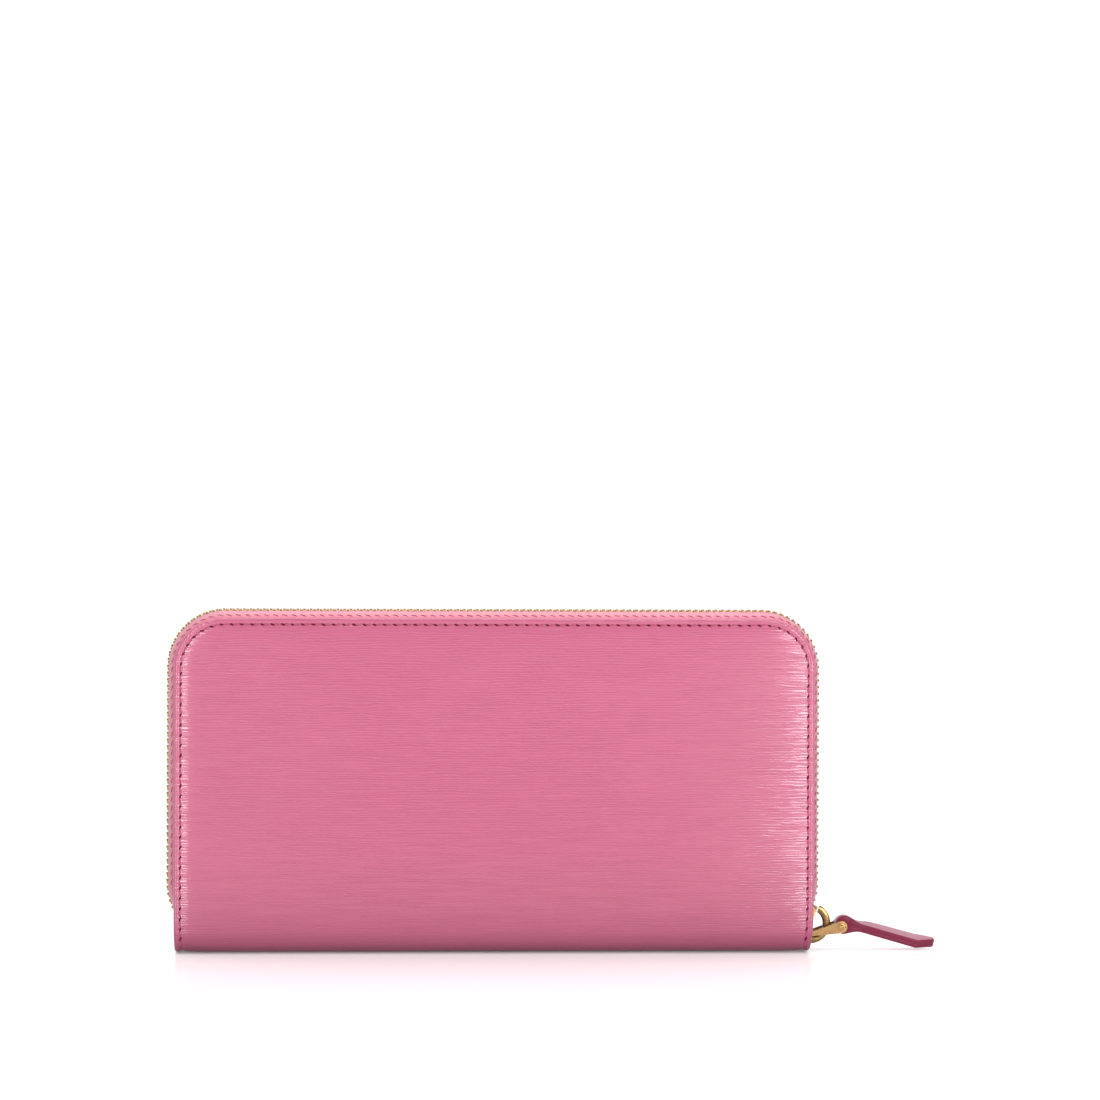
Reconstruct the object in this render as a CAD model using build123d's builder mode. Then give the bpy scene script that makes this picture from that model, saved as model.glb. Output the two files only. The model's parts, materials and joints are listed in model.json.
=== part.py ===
"""Zip-around long wallet, closed and standing on its spine.

Frame: +X along the wallet's length towards the parked zip slider, -Y out of the front
cover, +Z up from the spine to the top run of the zip. The origin is the centre of the
flat strip of the spine that the wallet stands on. Millimetres.
"""

import math
import os

from build123d import *

os.makedirs("parts", exist_ok=True)

# ------------------------------------------------------------------ driving sizes
COVER_HW = 95.4          # half width of a cover
COVER_TOP = 99.7         # top edge of a cover above the table
COVER_R = 15.0           # radius of a cover's top corners
THICK_H = 12.5           # half of the wallet's thickness
LEATHER = 1.4            # outer leather with its turned edge
BOARD = 0.6              # stiffener, and the gap that the zip tape is sewn into
LINING = 0.4
SPINE_TOP = 8.0          # where the spine leather meets the covers
SPINE_R = 6.5            # outside radius of the two spine folds
COVER_BOTTOM = 8.3
HINGE_Z = 8.15           # height of the two fold lines

TAPE = 0.6               # zip tape thickness
CHAIN_OUT = 1.5          # chain centre, out from the cover's edge
PITCH = 2.0              # tooth pitch of one row
TOOTH_L = 0.84           # tooth length along the chain
TOOTH_H = 2.2            # tooth height across the tape
TOOTH_BACK = 2.2         # clamp end of a tooth, from the middle of the chain
TOOTH_TIP = 0.7          # head of a tooth, past the middle of the chain
SPREAD = 1.55            # how far a row moves aside to pass the slider's wedge
TAPE_Y = 2.26            # inner edge of a tape
SIDE_END = 20.0          # height at which the chain starts to turn inwards
END_R = 16.0             # radius of that turn
END_ANGLE = 22.0         # degrees the chain's ends lean
MAIN_LAST = 173.0        # last tooth of the rows on the covers, from the top centre
PARK = 5.8               # slider centre past the end of the turn

SLOT_T = 0.45            # one card pocket leaf
SLOT_HW = 88.0
SLOT_BOTTOM = 13.0
SLOT_TOPS = [84.0, 73.0, 62.0, 51.0]

PURSE_HW = 84.0
PURSE_HY = 3.3           # half thickness of the coin purse
PURSE_T = 0.6
PURSE_BOTTOM = 2.6
PURSE_TOP = 73.5
COIN_Z = 76.2            # centre of the coin zip's chain
COIN_HW = 74.0           # half length of the coin zip
COIN_PARK = 62.0         # parked coin slider

SLIDER_L = 11.0
SLIDER_HW = 4.5
CHANNEL = 1.25           # half height of the slider's channel
PLATE = 1.0
CROWN_R = 5.8            # outside radius of the crown arch
CROWN_IN = 3.9
CROWN_HY = 1.1           # half width of the crown
CROWN_GAP = 0.85         # slit between the crown's free end and the plate

BOW_R = 0.6              # bow bar of the pull's shackle
ARM_IN = 2.6             # inside half width between its arms
ARM_OUT = 3.4
EYE_R = 1.85
PIN_R = 0.8
PIN_X, PIN_Z = 104.85, 6.75
TAB_ANGLE = -13.5        # degrees the tab leans below the horizontal
TAB_L = 28.6             # pin to tip
TAB_T = 2.5
TAB_HW = 4.75
TAB_HEAD_HW = 2.45
TAB_HEAD_R = 2.85
TAB_OFF = 1.25           # strap centre line above the pin


def save(part, name):
    part.label = name
    export_step(part, f"parts/{name}.step")


# ------------------------------------------------------------------ chain path
CORNER_X = COVER_HW - COVER_R
CORNER_Z = COVER_TOP - COVER_R
CHAIN_R = COVER_R + CHAIN_OUT
CHAIN_X = COVER_HW + CHAIN_OUT
CHAIN_Z = COVER_TOP + CHAIN_OUT
L1 = CORNER_X
L2 = L1 + CHAIN_R * math.pi / 2
L3 = L2 + CORNER_Z - SIDE_END
L4 = L3 + END_R * math.radians(END_ANGLE)
PARK_D = L4 + PARK


def chain(d):
    """Point and direction (x, z, tx, tz) of the chain centre, d from the top centre towards +X."""
    side = 1 if d >= 0 else -1
    a = abs(d)
    if a <= L1:
        p = (a, CHAIN_Z, 1.0, 0.0)
    elif a <= L2:
        t = (a - L1) / CHAIN_R
        p = (CORNER_X + CHAIN_R * math.sin(t), CORNER_Z + CHAIN_R * math.cos(t), math.cos(t), -math.sin(t))
    elif a <= L3:
        p = (CHAIN_X, CORNER_Z - (a - L2), 0.0, -1.0)
    else:
        t = min(a - L3, L4 - L3) / END_R
        c = CHAIN_X - END_R
        x, z = c + END_R * math.cos(t), SIDE_END - END_R * math.sin(t)
        tx, tz = -math.sin(t), -math.cos(t)
        rest = max(0.0, a - L4)
        p = (x + tx * rest, z + tz * rest, tx, tz)
    return (side * p[0], p[1], side * p[2], p[3])


def panel_outline(hw, z0, z1, r):
    """Closed outline of a flat panel with two round top corners, on a sketch plane of x and z."""
    with BuildLine() as line:
        Polyline((-hw + 0, z1 - r), (-hw, z0), (hw, z0), (hw, z1 - r))
        RadiusArc((hw, z1 - r), (hw - r, z1), -r)
        Line((hw - r, z1), (-hw + r, z1))
        RadiusArc((-hw + r, z1), (-hw, z1 - r), -r)
    return line.line


# ------------------------------------------------------------------ spine (root body)
with BuildPart() as spine_leather:
    with BuildSketch(Plane.YZ.offset(-COVER_HW)):
        with BuildLine():
            FilletPolyline((-THICK_H, SPINE_TOP), (-THICK_H, 0), (THICK_H, 0), (THICK_H, SPINE_TOP), radius=SPINE_R)
            i = THICK_H - LEATHER
            FilletPolyline((i, SPINE_TOP), (i, LEATHER), (-i, LEATHER), (-i, SPINE_TOP), radius=SPINE_R - LEATHER)
            Line((-THICK_H, SPINE_TOP), (-i, SPINE_TOP))
            Line((THICK_H, SPINE_TOP), (i, SPINE_TOP))
        make_face()
    extrude(amount=2 * COVER_HW)
save(spine_leather.part, "spine_leather")

with BuildPart() as spine_lining:
    with BuildSketch(Plane.YZ.offset(-COVER_HW + 1.0)):
        with BuildLine():
            o = THICK_H - LEATHER
            FilletPolyline((-o, SPINE_TOP - 0.4), (-o, LEATHER), (o, LEATHER), (o, SPINE_TOP - 0.4), radius=SPINE_R - LEATHER)
            i = o - LINING
            FilletPolyline((i, SPINE_TOP - 0.4), (i, LEATHER + LINING), (-i, LEATHER + LINING), (-i, SPINE_TOP - 0.4), radius=SPINE_R - LEATHER - LINING)
            Line((-o, SPINE_TOP - 0.4), (-i, SPINE_TOP - 0.4))
            Line((o, SPINE_TOP - 0.4), (i, SPINE_TOP - 0.4))
        make_face()
    extrude(amount=2 * COVER_HW - 2.0)
save(spine_lining.part, "spine_lining")

# ------------------------------------------------------------------ covers
Y_BOARD = THICK_H - LEATHER            # outer face of the board
Y_LINING = Y_BOARD - BOARD
Y_SLOTS = Y_LINING - LINING

with BuildPart() as front_cover_leather:
    with BuildSketch(Plane.XZ.offset(Y_BOARD)):
        with BuildLine():
            add(panel_outline(COVER_HW, COVER_BOTTOM, COVER_TOP, COVER_R))
        make_face()
    extrude(amount=LEATHER)
    outer = front_cover_leather.faces().sort_by(Axis.Y)[0]
    fillet([e for e in outer.edges() if e.center().Z > COVER_BOTTOM + 1], 0.55)

with BuildPart() as front_cover_board:
    with BuildSketch(Plane.XZ.offset(Y_LINING)):
        with BuildLine():
            add(panel_outline(COVER_HW - 6.2, 10.5, COVER_TOP - 6.2, COVER_R - 6.2))
        make_face()
    extrude(amount=BOARD)

with BuildPart() as front_lining:
    with BuildSketch(Plane.XZ.offset(Y_SLOTS)):
        with BuildLine():
            add(panel_outline(COVER_HW - 1.0, 9.0, COVER_TOP - 1.0, COVER_R - 1.0))
        make_face()
    extrude(amount=LINING)

front_slots = []
for n, top in enumerate(SLOT_TOPS):
    with BuildPart() as slot:
        with BuildSketch(Plane.XZ.offset(Y_SLOTS - SLOT_T * (n + 1))):
            with BuildLine():
                add(panel_outline(SLOT_HW, SLOT_BOTTOM, top, 2.0))
            make_face()
        extrude(amount=SLOT_T)
    front_slots.append(slot)

# the tape: a flat seam allowance between leather and lining, then a slope in to the teeth
with BuildPart() as front_zip_tape:
    z0 = chain(MAIN_LAST + 0.6)[1]
    with BuildLine() as edge:
        Line((COVER_HW, 0, z0), (COVER_HW, 0, CORNER_Z))
        ThreePointArc(
            (COVER_HW, 0, CORNER_Z),
            (CORNER_X + COVER_R * math.sin(math.pi / 4), 0, CORNER_Z + COVER_R * math.cos(math.pi / 4)),
            (CORNER_X, 0, COVER_TOP),
        )
        Line((CORNER_X, 0, COVER_TOP), (-CORNER_X, 0, COVER_TOP))
        ThreePointArc(
            (-CORNER_X, 0, COVER_TOP),
            (-CORNER_X - COVER_R * math.sin(math.pi / 4), 0, CORNER_Z + COVER_R * math.cos(math.pi / 4)),
            (-COVER_HW, 0, CORNER_Z),
        )
        Line((-COVER_HW, 0, CORNER_Z), (-COVER_HW, 0, z0))
    with BuildSketch(Plane.XY.offset(z0)):
        with BuildLine():
            Polyline(
                (COVER_HW - 5.6, -Y_BOARD),
                (COVER_HW + 0.25, -Y_BOARD),
                (COVER_HW + CHAIN_OUT + 0.3, -TAPE_Y),
                (COVER_HW + CHAIN_OUT - 0.3, -TAPE_Y),
                (COVER_HW - 0.3, -Y_LINING),
                (COVER_HW - 5.6, -Y_LINING),
                close=True,
            )
        make_face()
    sweep(path=edge.line)

# one metal tooth: a clamp over the tape's cord and a narrower head that reaches past the middle
with BuildPart() as tooth:
    with BuildSketch(Plane.XY):
        with BuildLine():
            h = TOOTH_H / 2
            b, t = -TOOTH_BACK, TOOTH_TIP
            Polyline(
                (b, -h), (b, -0.42), (b + 0.4, -0.42), (b + 0.4, 0.42), (b, 0.42), (b, h),
                (-1.0, h), (-0.6, 0.78), (t - 0.2, 0.78), (t, 0.55), (t, -0.55), (t - 0.2, -0.78), (-0.6, -0.78), (-1.0, -h),
                close=True,
            )
        make_face()
    extrude(amount=TOOTH_L / 2, both=True)


def spread(past):
    """Sideways move of a row at a distance past the slider's tail end."""
    t = min(1.0, max(0.0, past / 6.2))
    return SPREAD * t * t * (3 - 2 * t)


def tooth_place(d, flip, aside=0.0):
    """Where a tooth stands: its x axis across the tape, its z axis along the chain."""
    x, z, tx, tz = chain(d)
    s = -1 if flip else 1
    return Location(Plane(origin=(x, -s * aside, z), x_dir=(0, s, 0), z_dir=(tx, 0, tz)))


def row(places, body=tooth):
    """A row of separate teeth as one compound of solids."""
    return Compound(children=[p * body.part.solid() for p in places])


front_d = [float(d) for d in range(-172, 173, 2)]
back_d = [float(d) for d in range(-173, 174, 2)]
front_zip_teeth = row([tooth_place(d, False) for d in front_d])
back_zip_teeth = row([tooth_place(d, True) for d in back_d])

# ------------------------------------------------------------------ write both covers
for piece, stem in ((front_cover_leather, "cover_leather"), (front_cover_board, "cover_board"), (front_lining, "cover_lining"), (front_zip_tape, "zip_tape")):
    save(piece.part, f"front_{stem}")
    with BuildPart() as other:
        mirror(piece.part, about=Plane.XZ)
    save(other.part, f"back_{stem}")
for n, piece in enumerate(front_slots):
    save(piece.part, f"front_card_slot_{n + 1}")
    with BuildPart() as other:
        mirror(piece.part, about=Plane.XZ)
    save(other.part, f"back_card_slot_{n + 1}")
save(front_zip_teeth, "front_zip_teeth")
save(back_zip_teeth, "back_zip_teeth")

# ------------------------------------------------------------------ zip ends, tucked in at the spine
END_D = L4 + 11.3


def end_strip(d0, d1, side, half):
    """Outline in x and z of a strip that follows the chain from d0 to d1, 2 * half thick."""
    def at(d, off):
        x, z, tx, tz = chain(side * d)
        return (x - side * off * tz, z + side * off * tx)
    mid = (max(d0, L3) + min(d1, L4)) / 2
    a, b = max(d0, L3), min(d1, L4)
    with BuildLine() as line:
        ThreePointArc(at(a, half), at(mid, half), at(b, half))
        Line(at(b, half), at(d1, half))
        Line(at(d1, half), at(d1, -half))
        Line(at(d1, -half), at(b, -half))
        ThreePointArc(at(b, -half), at(mid, -half), at(a, -half))
        Line(at(a, -half), at(a, half))
    return line.line


TAIL = PARK_D - SLIDER_L / 2
for side, name in ((1, "right_tape_ends"), (-1, "left_tape_ends")):
    with BuildPart() as ends:
        for way in (1, -1):
            inner, outer = TAPE_Y * way, 7.6 * way
            with BuildSketch(Plane.XZ.offset(inner)):
                with BuildLine():
                    add(end_strip(MAIN_LAST + 1.0, END_D if side < 0 else TAIL - 0.2, side, TAPE / 2))
                make_face()
            extrude(amount=outer - inner)
            if side > 0:
                a, b = chain(TAIL - 0.2), chain(END_D)
                mid = Plane(origin=((a[0] + b[0]) / 2, 0, (a[1] + b[1]) / 2), x_dir=(a[2], 0, a[3]), z_dir=(0, -1, 0))
                with BuildSketch(mid.offset((TAPE_Y + SPREAD) * way)):
                    Rectangle(END_D - TAIL + 0.2, TAPE)
                extrude(amount=outer - (TAPE_Y + SPREAD) * way)
    save(ends.part, name)

end_teeth = [tooth_place(float(d), d % 2 == 1, spread(d - TAIL)) for d in range(174, 186)]
save(row(end_teeth), "right_end_teeth")
end_teeth = [tooth_place(float(-d), d % 2 == 1) for d in range(174, 180)]
save(row(end_teeth), "left_end_teeth")

# two stops in the slider's mouths, and one bottom stop across both rows at the other end
with BuildPart() as zip_stops:
    x, z, tx, tz = chain(PARK_D + 4.3)
    with BuildSketch(Plane(origin=(x, 0, z), x_dir=(0, 1, 0), z_dir=(tx, 0, tz))):
        with Locations((2.95, 0), (-2.95, 0)):
            RectangleRounded(1.4, 2.0, 0.3)
    extrude(amount=0.8, both=True)
    x, z, tx, tz = chain(-181.4)
    with BuildSketch(Plane(origin=(x, 0, z), x_dir=(0, 1, 0), z_dir=(tx, 0, tz))):
        RectangleRounded(4.4, 2.6, 0.5)
    extrude(amount=1.1, both=True)
save(zip_stops.part, "zip_stops")

# ------------------------------------------------------------------ coin purse
with BuildPart() as coin_purse_front:
    with BuildSketch(Plane.XZ.offset(PURSE_HY - PURSE_T)):
        with BuildLine():
            add(panel_outline(PURSE_HW, PURSE_BOTTOM, PURSE_TOP, 3.0))
        make_face()
    extrude(amount=PURSE_T)
save(coin_purse_front.part, "coin_purse_front")
with BuildPart() as coin_purse_back:
    mirror(coin_purse_front.part, about=Plane.XZ)
save(coin_purse_back.part, "coin_purse_back")

with BuildPart() as coin_purse_gusset:
    with BuildSketch(Plane.XZ.offset(-(PURSE_HY - PURSE_T))):
        with BuildLine():
            h, t = PURSE_HW, PURSE_T
            Polyline(
                (-h, PURSE_TOP - 4), (-h, PURSE_BOTTOM), (h, PURSE_BOTTOM), (h, PURSE_TOP - 4),
                (h - t, PURSE_TOP - 4), (h - t, PURSE_BOTTOM + t), (-h + t, PURSE_BOTTOM + t), (-h + t, PURSE_TOP - 4),
                close=True,
            )
        make_face()
    extrude(amount=2 * (PURSE_HY - PURSE_T))
save(coin_purse_gusset.part, "coin_purse_gusset")

with BuildPart() as coin_zip_tape_front:
    with BuildSketch(Plane.YZ.offset(-COIN_HW - 4)):
        with BuildLine():
            y, w = PURSE_HY + 0.05, PURSE_HY + 0.45
            Polyline(
                (-TAPE_Y - 0.03, COIN_Z + 0.25), (-5.0, COIN_Z + 0.25), (-5.3, COIN_Z - 0.05), (-5.3, 73.4), (-w, 71.2), (-w, 66.0),
                (-y, 66.0), (-y, 71.4), (-4.85, 73.6), (-4.85, COIN_Z - 0.25), (-TAPE_Y - 0.03, COIN_Z - 0.25),
                close=True,
            )
        make_face()
    extrude(amount=2 * COIN_HW + 8)
    # drawn back where the rows part inside and beyond the slider
    with BuildSketch(Plane.YZ.offset(COIN_PARK - 4.6)):
        with Locations((0, COIN_Z)):
            Rectangle(2 * (TAPE_Y + SPREAD + 0.03), 2)
    extrude(amount=COIN_HW + 8 - COIN_PARK, mode=Mode.SUBTRACT)
save(coin_zip_tape_front.part, "coin_zip_tape_front")
with BuildPart() as coin_zip_tape_back:
    mirror(coin_zip_tape_front.part, about=Plane.XZ)
save(coin_zip_tape_back.part, "coin_zip_tape_back")


COIN_TAIL = COIN_PARK - 4.5


def coin_place(x, flip):
    s = -1 if flip else 1
    return Location(Plane(origin=(x, -s * spread(x - COIN_TAIL), COIN_Z), x_dir=(0, s, 0), z_dir=(1, 0, 0)))


save(row([coin_place(float(x), False) for x in range(-72, 72, 2)]), "coin_zip_teeth_front")
save(row([coin_place(float(x), True) for x in range(-71, 72, 2)]), "coin_zip_teeth_back")

with BuildPart() as coin_zip_stops:
    with BuildSketch(Plane.YZ.offset(-75.6)):
        with Locations((0, COIN_Z)):
            RectangleRounded(4.4, 2.4, 0.5)
    extrude(amount=2.0)
    with BuildSketch(Plane.YZ.offset(72.4)):
        with Locations((-3.15, COIN_Z), (3.15, COIN_Z)):
            RectangleRounded(1.3, 2.2, 0.4)
    extrude(amount=1.6)
save(coin_zip_stops.part, "coin_zip_stops")

# ------------------------------------------------------------------ side gussets between covers and purse
def ribbon(points, half):
    """Closed mitred outline round an open run of points, half each side of it."""
    left, right = [], []
    for n, (x, y) in enumerate(points):
        before = points[n - 1] if n else None
        after = points[n + 1] if n + 1 < len(points) else None
        normals = []
        for a, b in ((before, (x, y)), ((x, y), after)):
            if a is not None and b is not None:
                run = math.hypot(b[0] - a[0], b[1] - a[1])
                normals.append((-(b[1] - a[1]) / run, (b[0] - a[0]) / run))
        nx, ny = sum(v[0] for v in normals), sum(v[1] for v in normals)
        size = math.hypot(nx, ny)
        nx, ny = nx / size, ny / size
        grow = min(3.0, 1 / (nx * normals[0][0] + ny * normals[0][1]))
        left.append((x + nx * half * grow, y + ny * half * grow))
        right.append((x - nx * half * grow, y - ny * half * grow))
    return left + right[::-1]


with BuildPart() as gusset:
    with BuildSketch(Plane.XY.offset(6.5)):
        with BuildLine():
            Polyline(*ribbon([(91.8, -9.6), (89.6, -7.7), (75.6, -6.3), (75.0, -5.7), (75.6, -5.1), (84.6, -3.8)], 0.25), close=True)
        make_face()
    extrude(amount=64.5)
save(gusset.part, "gusset_front_right")
for name, plane in (("gusset_front_left", Plane.YZ), ("gusset_back_right", Plane.XZ)):
    with BuildPart() as other:
        mirror(gusset.part, about=plane)
    save(other.part, name)
with BuildPart() as other:
    mirror(mirror(gusset.part, about=Plane.YZ, mode=Mode.PRIVATE), about=Plane.XZ)
save(other.part, "gusset_back_left")

# ------------------------------------------------------------------ main slider
px, pz, ptx, ptz = chain(PARK_D)
lean = math.radians(END_ANGLE)
OUT = (math.cos(lean), 0, -math.sin(lean))        # out of the wallet, square to the chain
UP = (math.sin(lean), 0, math.cos(lean))          # along the chain, towards the closed rows
TOP = CHANNEL + PLATE


def slider_body(length, hw, side_plane, top_plane, crown_r, crown_in, crown_hy, gap):
    """Two plates, side flanges, the wedge post and an arched crown, in the sketch frame of side_plane (x out, y along)."""
    half = length / 2
    with BuildPart() as body:
        with BuildSketch(top_plane):
            with BuildLine():
                Polyline(
                    (-half, -hw * 0.78), (-half, hw * 0.78), (-half + 1.6, hw), (half * 0.15, hw), (half, hw * 0.72), (half, -hw * 0.72), (half * 0.15, -hw), (-half + 1.6, -hw),
                    close=True,
                )
            make_face()
        extrude(amount=TOP, both=True)
        fillet(body.edges().filter_by(Axis(side_plane.origin, side_plane.x_dir)), 0.7)
        # the channel for the teeth, wide at the mouths and narrow at the tail
        with BuildSketch(top_plane):
            with BuildLine():
                m, n = hw - 0.6, TOOTH_BACK + 0.2
                Polyline((-half - 1, -m), (-half - 1, m), (half - 4.7, m), (half - 0.3, n), (half + 1, n), (half + 1, -n), (half - 0.3, -n), (half - 4.7, -m), close=True)
            make_face()
        extrude(amount=CHANNEL, both=True, mode=Mode.SUBTRACT)
        # slots in the flanges for the tapes
        with BuildSketch(top_plane):
            Rectangle(2 * half + 2, 2 * hw + 2)
        extrude(amount=0.48, both=True, mode=Mode.SUBTRACT)
        # wedge post at the end that the slider closes towards
        with BuildSketch(top_plane):
            with BuildLine():
                Polyline((-half + 0.1, -0.5), (-half + 0.1, 0.5), (-half + 1.6, 0.75), (-half + 3.2, 0.45), (-half + 4.4, 0.15), (-half + 4.4, -0.15), (-half + 3.2, -0.45), (-half + 1.6, -0.75), close=True)
            make_face()
        extrude(amount=CHANNEL + 0.2, both=True)
        # crown: an arch joined to the plate at its lower foot only
        with BuildSketch(side_plane):
            with Locations((TOP, 0)):
                Circle(crown_r)
                Circle(crown_in, mode=Mode.SUBTRACT)
            with Locations((TOP - 20 - 0.25, 0)):
                Rectangle(40, 40, mode=Mode.SUBTRACT)
            with Locations((TOP + gap / 2 - 0.15, (crown_r + crown_in) / 2)):
                Rectangle(gap + 0.3, crown_r - crown_in + 1.5, mode=Mode.SUBTRACT)
        extrude(amount=crown_hy, both=True)
    return body


side_plane = Plane(origin=(px, 0, pz), x_dir=OUT, z_dir=(0, -1, 0))
top_plane = Plane(origin=(px, 0, pz), x_dir=UP, z_dir=OUT)
zip_slider = slider_body(SLIDER_L, SLIDER_HW, side_plane, top_plane, CROWN_R, CROWN_IN, CROWN_HY, CROWN_GAP)
save(zip_slider.part, "zip_slider")
crown_c = (px + OUT[0] * TOP, pz + OUT[2] * TOP)   # x, z of the crown's centre
print("main slider centre", px, pz, "crown centre", crown_c)

# ------------------------------------------------------------------ shackle, pin and leather tab
bow_a = math.radians(-91.0)
BOW = (crown_c[0] + 3.12 * math.cos(bow_a), crown_c[1] + 3.12 * math.sin(bow_a))
reach = math.hypot(PIN_X - BOW[0], PIN_Z - BOW[1])
print("bow", BOW, "pin", (PIN_X, PIN_Z), "reach", reach)
arm_dir = ((PIN_X - BOW[0]) / reach, 0, (PIN_Z - BOW[1]) / reach)
arm_plane = Plane(origin=(BOW[0], 0, BOW[1]), x_dir=arm_dir, z_dir=(0, -1, 0))

with BuildPart() as puller_shackle:
    # tapered arms, tangent to the bow bar and to the eye
    tilt = math.asin((EYE_R - BOW_R) / reach)
    s, c = math.sin(tilt), math.cos(tilt)
    for y0 in (ARM_IN, -ARM_OUT):
        with BuildSketch(arm_plane.offset(y0)):
            with BuildLine():
                ThreePointArc((-s * BOW_R, c * BOW_R), (-BOW_R, 0), (-s * BOW_R, -c * BOW_R))
                Line((-s * BOW_R, -c * BOW_R), (reach - s * EYE_R, -c * EYE_R))
                ThreePointArc((reach - s * EYE_R, -c * EYE_R), (reach + EYE_R, 0), (reach - s * EYE_R, c * EYE_R))
                Line((reach - s * EYE_R, c * EYE_R), (-s * BOW_R, c * BOW_R))
            make_face()
            with Locations((reach, 0)):
                Circle(PIN_R + 0.02, mode=Mode.SUBTRACT)
        extrude(amount=ARM_OUT - ARM_IN)
    with BuildSketch(arm_plane):
        Circle(BOW_R)
    extrude(amount=ARM_IN + 0.3, both=True)
save(puller_shackle.part, "puller_shackle")

pin_plane = Plane(origin=(PIN_X, 0, PIN_Z), x_dir=(1, 0, 0), z_dir=(0, -1, 0))
with BuildPart() as puller_pin:
    with BuildSketch(pin_plane):
        Circle(PIN_R)
    extrude(amount=ARM_OUT + 0.02, both=True)
    for y0, way in ((ARM_OUT + 0.02, 1), (-ARM_OUT - 0.02, -1)):
        with BuildSketch(pin_plane.offset(y0)):
            Circle(1.15)
        extrude(amount=0.32 * way)
save(puller_pin.part, "puller_pin")

ta = math.radians(TAB_ANGLE)
tab_plane = Plane(origin=(PIN_X, 0, PIN_Z), x_dir=(math.cos(ta), 0, math.sin(ta)), z_dir=(0, -1, 0))
with BuildPart() as puller_tab:
    # side view: a loop round the pin that closes into a doubled strap
    with BuildSketch(tab_plane):
        hx, hz = 0.9, 0.8
        u, v = TAB_OFF + TAB_T / 2, TAB_OFF - TAB_T / 2
        with Locations((hx, hz)):
            Circle(TAB_HEAD_R)
        with BuildLine():
            Spline((hx, hz + TAB_HEAD_R), (3.6, 3.2), (6.0, u + 0.12), (8.2, u), tangents=((1, 0), (1, 0)))
            Line((8.2, u), (TAB_L, u))
            Line((TAB_L, u), (TAB_L, v))
            Line((TAB_L, v), (8.2, v))
            Spline((8.2, v), (5.6, v - 0.2), (2.9, -1.35), (hx, hz - TAB_HEAD_R), tangents=((-1, 0), (-1, 0)))
            Line((hx, hz - TAB_HEAD_R), (hx, hz + TAB_HEAD_R))
        make_face()
        Circle(PIN_R + 0.08, mode=Mode.SUBTRACT)
    extrude(amount=TAB_HW, both=True)
    # plan view: narrow between the shackle's arms, wider strap, clipped tip
    plan = Plane(origin=(PIN_X, 0, PIN_Z), x_dir=(math.cos(ta), 0, math.sin(ta)), z_dir=(-math.sin(ta), 0, math.cos(ta)))
    with BuildSketch(plan):
        with BuildLine():
            Polyline(
                (-4, -TAB_HEAD_HW), (2.6, -TAB_HEAD_HW), (9.5, -4.1), (TAB_L - 5.2, -TAB_HW), (TAB_L, -1.6),
                (TAB_L, 1.6), (TAB_L - 5.2, TAB_HW), (9.5, 4.1), (2.6, TAB_HEAD_HW), (-4, TAB_HEAD_HW),
                close=True,
            )
        make_face()
    extrude(amount=6, both=True, mode=Mode.INTERSECT)
save(puller_tab.part, "puller_tab")

# ------------------------------------------------------------------ coin slider and its pull
coin_side = Plane(origin=(COIN_PARK, 0, COIN_Z), x_dir=(0, 0, 1), z_dir=(0, 1, 0))
coin_top = Plane(origin=(COIN_PARK, 0, COIN_Z), x_dir=(-1, 0, 0), z_dir=(0, 0, 1))
coin_slider = slider_body(9.0, SLIDER_HW, coin_side, coin_top, 3.2, 1.9, 0.8, 0.0)
save(coin_slider.part, "coin_slider")

COIN_PIVOT_Z = COIN_Z + TOP + 0.95
with BuildPart() as coin_puller:
    # flat pull lying towards +X: a bow through the crown, two sides and a plate with a finger hole
    with BuildSketch(Plane.XY.offset(COIN_PIVOT_Z - 0.4)):
        with BuildLine():
            FilletPolyline((COIN_PARK - 0.5, -2.1), (COIN_PARK + 17.0, -2.1), (COIN_PARK + 17.0, 2.1), (COIN_PARK - 0.5, 2.1), radius=1.2)
            Line((COIN_PARK - 0.5, 2.1), (COIN_PARK - 0.5, -2.1))
        make_face()
        with Locations((COIN_PARK + 2.8, 0)):
            Rectangle(5.4, 2.5, mode=Mode.SUBTRACT)
        with Locations((COIN_PARK + 12.0, 0)):
            SlotOverall(6.5, 1.9, mode=Mode.SUBTRACT)
    extrude(amount=0.8)
    with BuildSketch(Plane.XZ.offset(0)):
        with Locations((COIN_PARK - 0.1, COIN_PIVOT_Z)):
            Circle(0.45)
    extrude(amount=1.5, both=True)
save(coin_puller.part, "coin_puller")
print("coin pivot", COIN_PARK - 0.1, COIN_PIVOT_Z)

# joint facts for the record
a = math.radians(END_ANGLE)
zf = pz + (CHAIN_X - px) / math.tan(a / 2)
arc = (CHAIN_X - px) / (1 - math.cos(a))
print("slider arc centre", CHAIN_X - arc, zf, "radius", arc, "travel", arc * a)
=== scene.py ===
"""Looks of the zip-around wallet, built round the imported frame. Lengths in the code are millimetres, turned to metres on the way in."""
import json
import math

import bmesh
import bpy
import numpy as np
from mathutils import Matrix, Vector


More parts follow.
